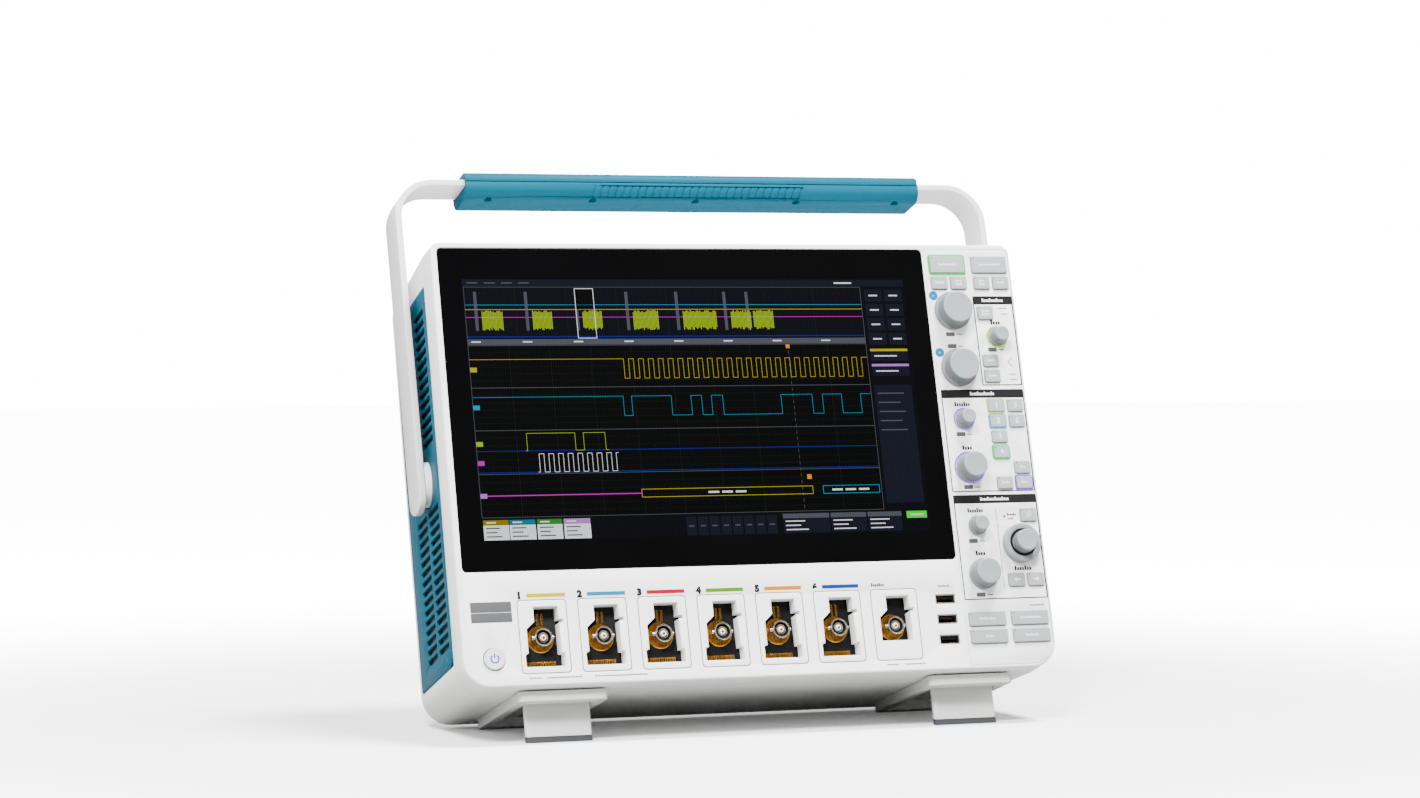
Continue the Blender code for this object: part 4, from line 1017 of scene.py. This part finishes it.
def add_coaxial_socket(metal, x):
    """A bayonet socket: shell with two lugs, a black liner in the bore as painted shade, inner sleeve,
    insulator, pin and flange.
    """
    place = (x, 0, INPUT_Z)
    floor, outer, bore = SOCKET_FLOOR, SOCKET_OUTER, SOCKET_BORE
    shell = [(bore, floor), (bore, -0.9), (bore + 0.35, -0.35), (outer - 0.25, -0.3), (outer, -0.6)]
    metal.add(turned([*shell, (outer, -10.5), (bore, -10.5), shell[0]], place), SILVER)
    # A black cup lining the bore paints the shade inside it.
    bore_painted_shade = [(0, floor), (bore - 0.3, floor), (bore - 0.3, -1.6), (bore - 0.02, -1.4)]
    metal.add(turned([*bore_painted_shade, (bore - 0.02, -10), (0, -10)], place), BLACK)
    for side in (-1, 1):
        start, end = x + side * (outer - 0.5), x + side * (outer + 1.4)
        metal.add(rod(1.1, (start, 3.2, INPUT_Z), (end, 3.2, INPUT_Z), 16, 0.2), SILVER)
    base = floor - 0.1
    sleeve = [(2.7, base), (3.3, base), (3.3, -2.2), (3, -1.9), (2.7, -2.2), (2.7, base)]
    metal.add(turned(sleeve, place, steps=32), SILVER)
    core = [(0, base), (1.9, base), (1.9, -1.9), (1.6, -1.6), (0, -1.6)]
    metal.add(turned(core, place, steps=32), TEFLON)
    pin = [(0, -2), (0.95, -2), (0.95, -1.3), (0.6, -1.1), (0.45, -1.5), (0, -1.5)]
    metal.add(turned(pin, place, steps=20), BRASS)
    flange = [(5.6, -9.7), (8.3, -9.7), (8.3, -8.4), (7.9, -8.1), (7.3, -8.1), (7, -8.5), (6.4, -8.5)]
    metal.add(turned([*flange, (6.1, -8.1), (5.6, -8.1), flange[0]], place), BRASS)


def add_usb_port(mix, x, z, front, into):
    """A USB socket: a folded shell, a tongue and four contacts. into is +1 for one that runs back."""
    deep = 11
    inner = centred(x, z, 12.3, 4.7, 0.4, 3)
    shell_span = sorted((front, front + into * deep))
    mix.add(plate([centred(x, z, 13.1, 5.5, 0.6, 3), inner], *shell_span, 0.08), STEEL)
    mix.add(plate([inner], *sorted((front + into * (deep - 1), front + into * (deep - 0.2)))), BLACK)
    low, high = sorted((front + into * 1.6, front + into * deep))
    mix.add(block(x, z + 1.2, 5.4, 0.7, low, high, 0.2), BLACK)
    for i in range(4):
        contact_x = x + (i - 1.5) * 2.4
        mix.add(block(contact_x, z + 0.46, 0.55, 0.1, low + 0.3, high), BRASS)
        mix.add(block(contact_x, z - 1.95, 0.5, 0.25, low + 0.2, high, 0.1), BRASS)


def build_front_usb():
    low, high = case_box("usb_sockets")
    ports = Mix(STEEL, BLACK, BRASS)
    for z in USB_HEIGHTS:
        add_usb_port(ports, USB_X, z, 0.5, 1)
    ports.add(box((low.x, 12, low.z), high, 0.4), BLACK)
    ports.made("usb_ports", stands_for=["usb_sockets"], slot="sheet_steel")


STRIPE_Z = FACE_HEIGHT - 223.1
STRIPE_COLOURS = {
    "stripe_yellow": (0.36, 0.25, 0.0),
    "stripe_cyan": (0.0, 0.125, 0.22),
    "stripe_red": (0.26, 0.0, 0.008),
    "stripe_green": (0.05, 0.16, 0.0),
    "stripe_orange": (0.38, 0.12, 0.0),
    "stripe_blue": (0.0, 0.025, 0.17),
}


def build_input_marks():
    """Colour bar and digit over each probe channel, a dark line over the gap round each input as painted
    shade, and the plain grey badge.
    """
    half_x, half_z = FRAME_SIZE[0] / 2, FRAME_SIZE[1] / 2
    marks = Mix(DARK_INK, INPUT_GAP_PAINTED_SHADE)
    for i, (name, colour) in enumerate(STRIPE_COLOURS.items()):
        x = INPUT_XS[i]
        bar = rounded(x + half_x - 24.5, x + half_x, STRIPE_Z - 1.8, STRIPE_Z + 0.6, 0.3, 2)
        Mix(printed(name, colour, 0.6, 0.05)).add(plate([bar], -INK, UNDER_INK)).made(name)
        marks.add(lettering(str(i + 1), x - half_x + 1.6, STRIPE_Z - 0.6, 5.6, 0, 0.5))
    # A dark line over the gap round each input is painted shade.
    for x in INPUT_XS:
        span = grown((x - half_x, x + half_x, FRAME_Z - half_z, FRAME_Z + half_z), 0.25)
        marks.add(frame_line(*span, 0.5, 2.2), INPUT_GAP_PAINTED_SHADE)
    marks.made("input_digits_and_gap_shade", slot="black_plastic")
    badge = Mix(BADGE)
    for z0, z1 in ((45.7, 52), (39.5, 45.3)):
        badge.add(plate([rounded(-187.7, -162, z0, z1, 0.3, 2)], -0.25, 0.05, 0.1))
    badge.made("blank_badge", slot="key_grey")


# Case sides, back and vents


ARM_HOLES = [(x, z) for x in (-50, 50) for z in (110, 210)]
REAR_SCREWS = [(x, z) for x in (-165, 165) for z in (90, 195)] + [(-60, 262), (60, 262)]
EXHAUST_SLOTS = [
    centred((column - 2.5) * 30, 227 + row * 5, 24, 2.4, 1.1, 3) for row in range(6) for column in range(6)
]
SLOT_FLOOR = CASE_DEPTH - 1.5
BEHIND = CASE_DEPTH + 4


def rear_cover_cutters():
    """The hollow, the vent panels' recesses, the sockets' windows, the holes and the exhaust slots."""
    hollow = [section(BEZEL_DEPTH - 0.7, 3.5, 4, 14, -CASE_SAG)]
    hollow.append(section(SIDE_END, 3.5, 8, 15, -CASE_SAG, BACK_TOP, SIDE_DRAFT))
    hollow.append(section(CASE_DEPTH - 3.5, 9.5, 8, 15, -CASE_SAG, BACK_TOP, SIDE_DRAFT))
    cutters = [loft(hollow)]
    for side in (-1, 1):
        low, high = vent_box(side)
        recess = box((low.x - 0.3, low.y - 0.3, -2.9), (high.x + 0.3, high.y + 0.3, 6))
        cutters.append(moved(recess, CASE.inverted() @ side_frame(side)))
    for node, gap in (("rear_io_panel", -4), ("power_inlet", 0.3)):
        low, high = case_box(node)
        start = (low.x - gap, CASE_DEPTH - 12, low.z - gap)
        cutters.append(box(start, (high.x + gap, CASE_DEPTH + 5, high.z + gap)))
    holes = [rod(2.2, (x, CASE_DEPTH - 8, z), (x, BEHIND, z), 24) for x, z in ARM_HOLES]
    holes += [rod(4.5, (x, CASE_DEPTH - 2, z), (x, BEHIND, z), 24) for x, z in REAR_SCREWS]
    holes += [plate([outline], SLOT_FLOOR, BEHIND) for outline in EXHAUST_SLOTS]
    return [*cutters, together(holes)]


def build_rear_cover():
    """Rear shell with drafted sides, a rounded back and the handle's seats."""
    sections = [section(BEZEL_DEPTH + 0.3, 0, 6, 17, -CASE_SAG)]
    sections.append(section(SIDE_END, 0, 10, 18, -CASE_SAG, BACK_TOP, SIDE_DRAFT))
    for i in range(1, 7):
        angle = math.pi / 2 * i / 6
        inset = 11 * (1 - math.cos(angle))
        depth = SIDE_END + 3 + (CASE_DEPTH - SIDE_END - 3) * math.sin(angle)
        sections.append(section(depth, inset, 12, 18, -CASE_SAG, BACK_TOP, SIDE_DRAFT))
    cover = Mix(WHITE).add(carved(loft(sections), rear_cover_cutters()))
    pivot = joint_place("handle_fold")
    reach = box_in("handle_strap", HANDLE)[1].x
    for side in (-1, 1):
        for radius, end, steps, rim in ((14, reach - 4.55, 56, 0.5), (5, reach - 2.6, 32, 0.3)):
            start = (side * (HALF_WIDTH - 5), pivot.y, pivot.z)
            cover.add(rod(radius, start, (side * end, pivot.y, pivot.z), steps, rim))
    cover.made("rear_shell", stands_for=["rear_cover"], slot="white_case")


def add_screw(mix, matrix, radius):
    """A cross-slotted screw head facing local +Z, its rim at the origin's height."""
    head = [(0, 0), (radius * 0.55, -0.05), (radius * 0.9, -0.35), (radius, -0.7), (radius, -1.6), (0, -1.6)]
    long, short = radius * 0.62, 0.32
    slots = [box((-x, -y, -0.9), (x, y, 0.5)) for x, y in ((long, short), (short, long))]
    mix.add(carved(turned(head, turn=FLAT, steps=28), slots), matrix=matrix)


def build_rear_details():
    """Screws and threaded inserts, rubber bumpers and black sheets on the floors of the exhaust slots as
    painted shade.
    """
    screws = Mix(SILVER)
    for x, z in REAR_SCREWS:
        add_screw(screws, Matrix.Translation((x, CASE_DEPTH - 0.6, z)) @ BACK, 3.4)
    insert = [(2.2, -3), (3.4, -3), (3.4, 0.1), (2.3, 0.2), (2.2, -3)]
    for x, z in ARM_HOLES:
        screws.add(turned(insert, (x, CASE_DEPTH, z), BACK, 24))
    screws.made("rear_screws", slot="sheet_steel")
    # Black sheets on the slots' floors paint the shade of open slots.
    slot_shade_sheets = Mix(BLACK)
    for outline in EXHAUST_SLOTS:
        slot_shade_sheets.add(plate([outline], SLOT_FLOOR - 0.4, SLOT_FLOOR + 0.3))
    slot_shade_sheets.made("exhaust_slot_painted_shade", slot="black_plastic")
    bumpers = Mix(RUBBER)
    profile = [(0, 0), (9, 0), (9, 7), *arc((7, 8), 2, 0, 90, 5), (3, 10), (2.4, 8.6), (0, 8.6)]
    for x in (-155, 155):
        for z in (40, 244):
            bumpers.add(turned(profile, (x, CASE_DEPTH - 0.1, z), BACK, 40))
    bumpers.made("rear_bumpers", slot="pad_rubber")


SOCKET_PITCH = 26
# Width and height of the network, device, two host and video sockets
REAR_SOCKETS = ((16, 13), (12, 11), (13.2, 6), (13.2, 6), (15, 6))


def build_rear_sockets():
    """Steel socket plate with network, USB and video sockets."""
    low, high = case_box("rear_io_panel")
    centre = (low + high) / 2
    places = [(low.x + 22 + i * SOCKET_PITCH, *size) for i, size in enumerate(REAR_SOCKETS)]
    holes = [centred(x, centre.z, width, height, 0.4, 2) for x, width, height in places]
    edge = centred(centre.x, centre.z, high.x - low.x, high.z - low.z, 0.5)
    panel = Mix(STEEL).add(plate([edge, *holes], low.y, high.y, 0.15))
    panel.made("socket_plate", stands_for=["rear_io_panel"], slot="sheet_steel")
    sockets = Mix(STEEL, BLACK, BRASS)
    deep = low.y - 10
    for i, (x, width, height) in enumerate(places):
        if i in (2, 3):
            add_usb_port(sockets, x, centre.z, high.y - 0.2, -1)
            continue
        outer = centred(x, centre.z, width - 0.3, height - 0.3, 0.4, 2)
        inner = centred(x, centre.z, width - 1.4, height - 1.4, 0.3, 2)
        sockets.add(plate([outer, inner], deep, high.y + 0.2, 0.1), STEEL)
        sockets.add(plate([inner], deep, deep + 1), BLACK)
        pins = 8 if i == 0 else 4
        for pin in range(pins):
            pin_x = x + (pin - (pins - 1) / 2) * 1.2
            sockets.add(block(pin_x, centre.z + 2.3, 0.3, 0.3, deep, high.y - 2), BRASS)
    sockets.made("rear_sockets", slot="sheet_steel")


def build_mains_inlet():
    low, high = case_box("power_inlet")
    x, z = (low.x + high.x) / 2, (low.z + high.z) / 2
    recess = plate([rounded(x - 12.5, x + 12.5, z - 8.5, z + 8.5, (5, 5, 1, 1))], low.y + 7, high.y + 3)
    body = plate([rounded(low.x, high.x, low.z, high.z, 2)], low.y, high.y, 0.6)
    inlet = Mix(BLACK, STEEL).add(carved(body, [recess], bevel=0.3))
    for across, up in ((-7, 1.5), (0, -2), (7, 1.5)):
        inlet.add(block(x + across, z + up, 1, 2, low.y + 6, high.y - 4, 0.4), STEEL)
    inlet.made("mains_inlet", stands_for=["power_inlet"], slot="black_plastic")


VENT_SLOT = (30, 3.7)
VENT_COLUMNS = (5.6, 40.6)
VENT_PITCH = 6.2


def vent_box(side):
    """Lowest and highest corner of a vent panel in its side's frame."""
    return box_in("vent_panel_right" if side > 0 else "vent_panel_left", side_frame(side))


def vent_rows(low, high, hub):
    """Heights of the slots, clear of the panel's ends and of the handle's seat."""
    rows = []
    z = low + 14
    while z < high - 9:
        if abs(z - hub) > 18.5:
            rows.append(z)
        z += VENT_PITCH
    return rows


def build_vents():
    pivot = joint_place("handle_fold")
    for side, word in ((-1, "left"), (1, "right")):
        low, high = vent_box(side)
        place = side_frame(side)
        start, end = sorted((abs(low.x), abs(high.x)))
        outlines = [rounded(start, end, low.y, high.y, (8, 2, 2, 2))]
        outlines.append(circle(pivot.y - BEZEL_DEPTH, pivot.z, 14.6, 48))
        for z in vent_rows(low.y, high.y, pivot.z):
            for column in VENT_COLUMNS:
                outlines.append(centred(start + column + VENT_SLOT[0] / 2, z, *VENT_SLOT, 1.2, 3))
        outlines = [[(side * across, up) for across, up in outline] for outline in outlines]
        panel = Mix(BLUE).add(plate(outlines, -high.z, -low.z, 0.3, FLAT))
        panel.made("vent_grille_" + word, stands_for=["vent_panel_" + word], slot="blue_trim", place=place)
        # A black sheet behind the slots paints the shade inside the case.
        screen = box((low.x + 2, low.y + 2, -2.8), (high.x - 2, high.y - 2, low.z - 0.05), 0.1)
        Mix(BLACK).add(screen).made("vent_slot_painted_shade_" + word, place=place)
        screws = Mix(SILVER)
        for across, up in ((16.6, high.y - 4.2), (16, low.y + 6.4)):
            add_screw(screws, Matrix.Translation((side * across, up, high.z + 0.05)), 1.9)
        screws.made("vent_screws_" + word, slot="sheet_steel", place=place)


# Handle


STRAP_LOW, STRAP_HIGH = box_in("handle_strap", HANDLE)
STRAP_THICKNESS = 4.2
STRAP_TOP = STRAP_HIGH.z - STRAP_THICKNESS / 2
GRIP = HANDLE @ Matrix.Translation((0, 0, STRAP_TOP))
GRIP_SCREW_XS = (-140, -70, 0, 70, 140)
GRIP_SCREW_Y = -9.6
GROOVE_COUNT = 29


def strap_path(half_span, bend):
    """Middle line of the strap across X and up Z, from one arm's end to the other's."""
    right = [(half_span, z) for z in (STRAP_LOW.z, STRAP_LOW.z / 2, 0.0, STRAP_TOP / 2)]
    right += arc((half_span - bend, STRAP_TOP - bend), bend, 0, 90, 14)
    return mirrored_outline(right)


def strap_solid(half_span, half):
    """The bent strap with round ends, thickened to both sides of its middle."""
    bm = bmesh.new()
    path = strap_path(half_span, 24)
    front = [bm.verts.new((x, -half, z)) for x, z in path]
    back = [bm.verts.new((x, half, z)) for x, z in path]
    for i in range(len(path) - 1):
        bm.faces.new((front[i], back[i], back[i + 1], front[i + 1]))
    ends = [front[0], front[-1], back[0], back[-1]]
    bmesh.ops.bevel(
        bm, geom=ends, offset=half - 1, segments=10, profile=0.5, affect="VERTICES", clamp_overlap=False
    )
    sheet = shown("strap", mesh_of(bm))
    thick = sheet.modifiers.new("thickness", "SOLIDIFY")
    thick.thickness = STRAP_THICKNESS
    thick.offset = 0
    thick.use_even_offset = True
    return taken(sheet)


def build_handle():
    half_span = STRAP_HIGH.x - STRAP_THICKNESS / 2
    pin_holes = together(
        rod(5.35, (side * (half_span - STRAP_THICKNESS), 0, 0), (side * (half_span + 0.1), 0, 0), 32)
        for side in (-1, 1)
    )
    solid = strap_solid(half_span, (STRAP_HIGH.y - STRAP_LOW.y) / 2)
    strap = Mix(STRAP_PAINT).add(carved(solid, [pin_holes], bevel=0.7, segments=3, angle=50))
    strap.made("handle_bow", "handle", ["handle_strap"], "strap_paint", HANDLE)
    screws = Mix(BRASS)
    for side in (-1, 1):
        outward = Matrix.Rotation(side * math.pi / 2, 4, "Y")
        for y, z in ((-2.5, -1.5), (10.5, -1.2)):
            add_screw(screws, Matrix.Translation((side * (STRAP_HIGH.x + 0.02), y, z)) @ outward, 1.1)
    screws.made("arm_screws", "handle", slot="brass_contacts", place=HANDLE)


def build_grip():
    """Two moulded half shells screwed together round the top of the strap."""
    channel, lift = 13.8, 2.4
    low, high = box_in("grip_upper", GRIP)
    half_depth, length = (high.y - low.y) / 2, high.x - low.x
    side = [(half_depth, low.z), (half_depth, high.z - 4.6), (half_depth - 0.6, high.z - 2.6)]
    side += arc((half_depth - 5, high.z - 4), 4, 22, 90, 6)[1:]
    inside = [(-channel, low.z), (-channel, lift), (channel, lift), (channel, low.z)]
    add_grip_shell("upper", mirrored_outline(side) + inside, length)
    low, high = box_in("grip_lower", GRIP)
    half_depth, length = (high.y - low.y) / 2, high.x - low.x
    side = [(-half_depth, high.z), (-half_depth, low.z + 8)]
    side += arc((-half_depth + 8, low.z + 8), 8, 185, 270, 9)
    inside = [(channel, high.z), (channel, -lift), (-channel, -lift), (-channel, high.z)]
    cutters = [grip_grooves(8 - half_depth, low.z + 8), grip_screw_holes(low.z)]
    add_grip_shell("lower", mirrored_outline(side) + inside, length, cutters)
    screws = Mix(SILVER)
    for x in GRIP_SCREW_XS:
        where = Matrix.Translation((x, GRIP_SCREW_Y, low.z + 3.4)) @ Matrix.Rotation(math.pi, 4, "X")
        add_screw(screws, where, 2)
    screws.made("grip_screws", "handle", slot="sheet_steel", place=GRIP)


def add_grip_shell(word, outline, length, cutters=()):
    shell = plate([outline], -length / 2, length / 2, turn=SIDEWAYS)
    grip = Mix(BLUE).add(carved(shell, cutters, bevel=0.45, angle=38))
    grip.made(f"grip_{word}_shell", "handle", ["grip_" + word], "blue_trim", GRIP)


def grip_screw_holes(drop):
    return together(
        rod(2.5, (x, GRIP_SCREW_Y, drop - 2), (x, GRIP_SCREW_Y, drop + 4), 24) for x in GRIP_SCREW_XS
    )


def grip_grooves(y, z):
    """Short slanting finger grooves round the lower front edge, whose rounding is centred at y, z."""
    grooves = []
    points = arc((y, z), 8.1, 178, 232, 7)
    for i in range(GROOVE_COUNT):
        sections = []
        for j, point in enumerate(points):
            share = j / (len(points) - 1)
            centre = Vector((-70 + i * 142 / (GROOVE_COUNT - 1) + 2.2 * (0.5 - share), *point))
            width = 0.75 * math.sin(math.pi * min(1, max(0.12, share * 0.88 + 0.06))) ** 0.4
            inward = Vector((0, y - point[0], z - point[1])).normalized()
            sections.append([
                centre + Vector((across * width, 0, 0)) + inward * 0.6 * up
                for across, up in circle(0, 0, 1, 10)
            ])
        grooves.append(loft(sections))
    return together(grooves)


# Feet


LEG_HALF = 21


def build_feet():
    """Rails under the case, and a flip leg with a rubber sole in each, cut level with the floor."""
    into = Vector(JOINTS["key_save_press"]["axis"])
    down = Vector((0, -into.z / into.y, -1)).normalized()
    for word in ("left", "right"):
        low, high = case_box("foot_rail_" + word)
        middle = (low.x + high.x) / 2
        outer = rounded(low.x, high.x, low.y, high.y, 3.5)
        window = rounded(middle - 21.75, middle + 21.75, 19.5, 98, 1.2)
        rail = Mix(LIGHT_GREY).add(plate([outer, window], -high.z, -low.z, 0.5, FLAT, 2))
        rail.made("rail_" + word, stands_for=["foot_rail_" + word], slot="light_grey")
        low, high = case_box("leg_" + word)
        pivot = joint_place(f"leg_{word}_fold")
        floor = case_box("leg_pad_" + word)[0].z
        sole = floor + 3.8
        left, right = middle - LEG_HALF, middle + LEG_HALF
        front, back = pivot.y - 2.5, pivot.y + 2.5
        leg = box((left, front, sole - 4), (right, back, high.z), 2.2, 5)
        stand = Mix(LIGHT_GREY).add(sliced(leg, (0, front, sole), down))
        pin = (high.x - low.x) / 2
        stand.add(rod(1.5, (middle - pin, pivot.y, pivot.z), (middle + pin, pivot.y, pivot.z), 20))
        stand.made("flip_leg_" + word, "leg_" + word, ["leg_" + word], "light_grey")
        pad = box((left, front, floor - 6), (right, back, sole + 6), 1.6, 4)
        pad = sliced(sliced(pad, (0, front, sole - 0.3), -down), (0, front, floor), down)
        Mix(RUBBER).add(pad).made("sole_pad_" + word, "leg_" + word, ["leg_pad_" + word], "pad_rubber")


# Inner parts keep their CAD shape and get finished materials


INNER_SURFACES = {
    "display_module": STEEL,
    "chassis": STEEL,
    "acquisition_board": BOARD,
    "front_panel_board": BOARD,
    "power_supply": STEEL,
    "fan_frame": BLACK,
    "fan_rotor": BLACK,
}


def finish_inner_parts():
    for name, surface in INNER_SURFACES.items():
        for slot in frame["nodes"][name].material_slots:
            slot.material = surface


# Floor, light and camera, in metres


BACKDROP = 16
AMBIENT = 0.45
NEAR_GLOW = 0.1
FAR_GLOW = 13
NEAR_RADIUS = 0.35
FAR_RADIUS = 1.3
FLOOR_RADIUS = 14
FLOOR_BOUNCE = (0.28, 0.28, 0.27)
# Place, size and power of each lamp
LAMPS = {
    "key_light": ((-1.1, -1.7, 2.1), 0.8, 210),
    "top_light": ((0.5, -0.5, 2.5), 0.8, 230),
    "right_light": ((2.4, -1.0, 1.2), 1.0, 40),
    "back_light": ((-1.2, 2.2, 1.4), 1.2, 60),
    "left_light": ((-2.6, 0.2, 0.9), 1.0, 40),
}
LAMP_AIM = Vector((0, 0, 0.15))


def camera_only(nodes, links, strength, otherwise=0.0):
    """A strength that only what the camera looks at directly gets."""
    rays = nodes.new("ShaderNodeLightPath")
    made = nodes.new("ShaderNodeMapRange")
    made.inputs["To Min"].default_value = otherwise
    made.inputs["To Max"].default_value = strength
    links.new(rays.outputs["Is Camera Ray"], made.inputs["Value"])
    return made.outputs["Result"]


def floor_material():
    """Pale floor that fades into the white backdrop with distance."""
    floor = Surface("studio_floor", 0.0)
    pale = floor.mixed(floor.noise(167), (0.90, 0.90, 0.90), (0.93, 0.93, 0.93))
    colours = floor.mixed(camera_only(floor.nodes, floor.links, 1), FLOOR_BOUNCE, (1, 1, 1))
    floor.links.new(pale, colours.node.inputs["B"])
    floor.paint(colours)
    floor.shader["Roughness"].default_value = 0.9
    floor.shader["Emission Color"].default_value = (1, 1, 1, 1)
    distance = floor.nodes.new("ShaderNodeVectorMath")
    distance.operation = "LENGTH"
    floor.links.new(floor.places, distance.inputs[0])
    fade = floor.ranged(distance.outputs["Value"], NEAR_GLOW, FAR_GLOW, NEAR_RADIUS, FAR_RADIUS)
    fade.node.interpolation_type = "SMOOTHSTEP"
    seen = floor.nodes.new("ShaderNodeMath")
    seen.operation = "MULTIPLY"
    floor.links.new(fade, seen.inputs[0])
    floor.links.new(camera_only(floor.nodes, floor.links, 1), seen.inputs[1])
    floor.links.new(seen.outputs["Value"], floor.shader["Emission Strength"])
    return floor.material


def build_stage():
    bm = bmesh.new()
    bmesh.ops.create_circle(bm, cap_ends=True, segments=96, radius=FLOOR_RADIUS)
    floor = shown("studio_floor", mesh_of(bm, "studio_floor"))
    floor.data.materials.append(floor_material())
    world = bpy.data.worlds.new("studio")
    world.use_nodes = True
    nodes, links = world.node_tree.nodes, world.node_tree.links
    background = nodes["Background"]
    background.inputs["Color"].default_value = (1, 1, 1, 1)
    links.new(camera_only(nodes, links, BACKDROP, AMBIENT), background.inputs["Strength"])
    bpy.context.scene.world = world


def build_lights():
    for name, (place, size, power) in LAMPS.items():
        light = bpy.data.lights.new(name, "AREA")
        light.shape = "DISK"
        light.size = size
        light.energy = power
        lamp = shown(name, light)
        lamp.location = place
        lamp.rotation_mode = "QUATERNION"
        lamp.rotation_quaternion = (LAMP_AIM - Vector(place)).to_track_quat("-Z", "Y")


# In the case's frame
CAMERA_PLACE = Vector((-759.08, -2011.05, -353.47))
CAMERA_AIM = Vector((0.33413, 0.91135, 0.24042))
CAMERA_UP = Vector((0.01018, -0.25855, 0.96594))
CAMERA_LENS = 89.48


def build_camera():
    data = bpy.data.cameras.new("camera")
    data.lens = CAMERA_LENS
    data.sensor_width = 36
    camera = shown("camera", data)
    right = CAMERA_AIM.cross(CAMERA_UP).normalized()
    up = right.cross(CAMERA_AIM).normalized()
    turn = CASE.to_3x3().normalized() @ Matrix((right, up, -CAMERA_AIM.normalized())).transposed()
    camera.matrix_world = Matrix.Translation(CASE @ CAMERA_PLACE) @ turn.to_4x4()
    bpy.context.scene.camera = camera


build_camera()
build_bezel()
build_overlay()
build_prints()
build_keys()
build_power_button()
build_knobs()
build_pan_ring()
build_glass()
build_screen()
build_inputs()
build_front_usb()
build_input_marks()
build_rear_cover()
build_rear_details()
build_rear_sockets()
build_mains_inlet()
build_vents()
build_handle()
build_grip()
build_feet()
finish_inner_parts()
build_stage()
build_lights()
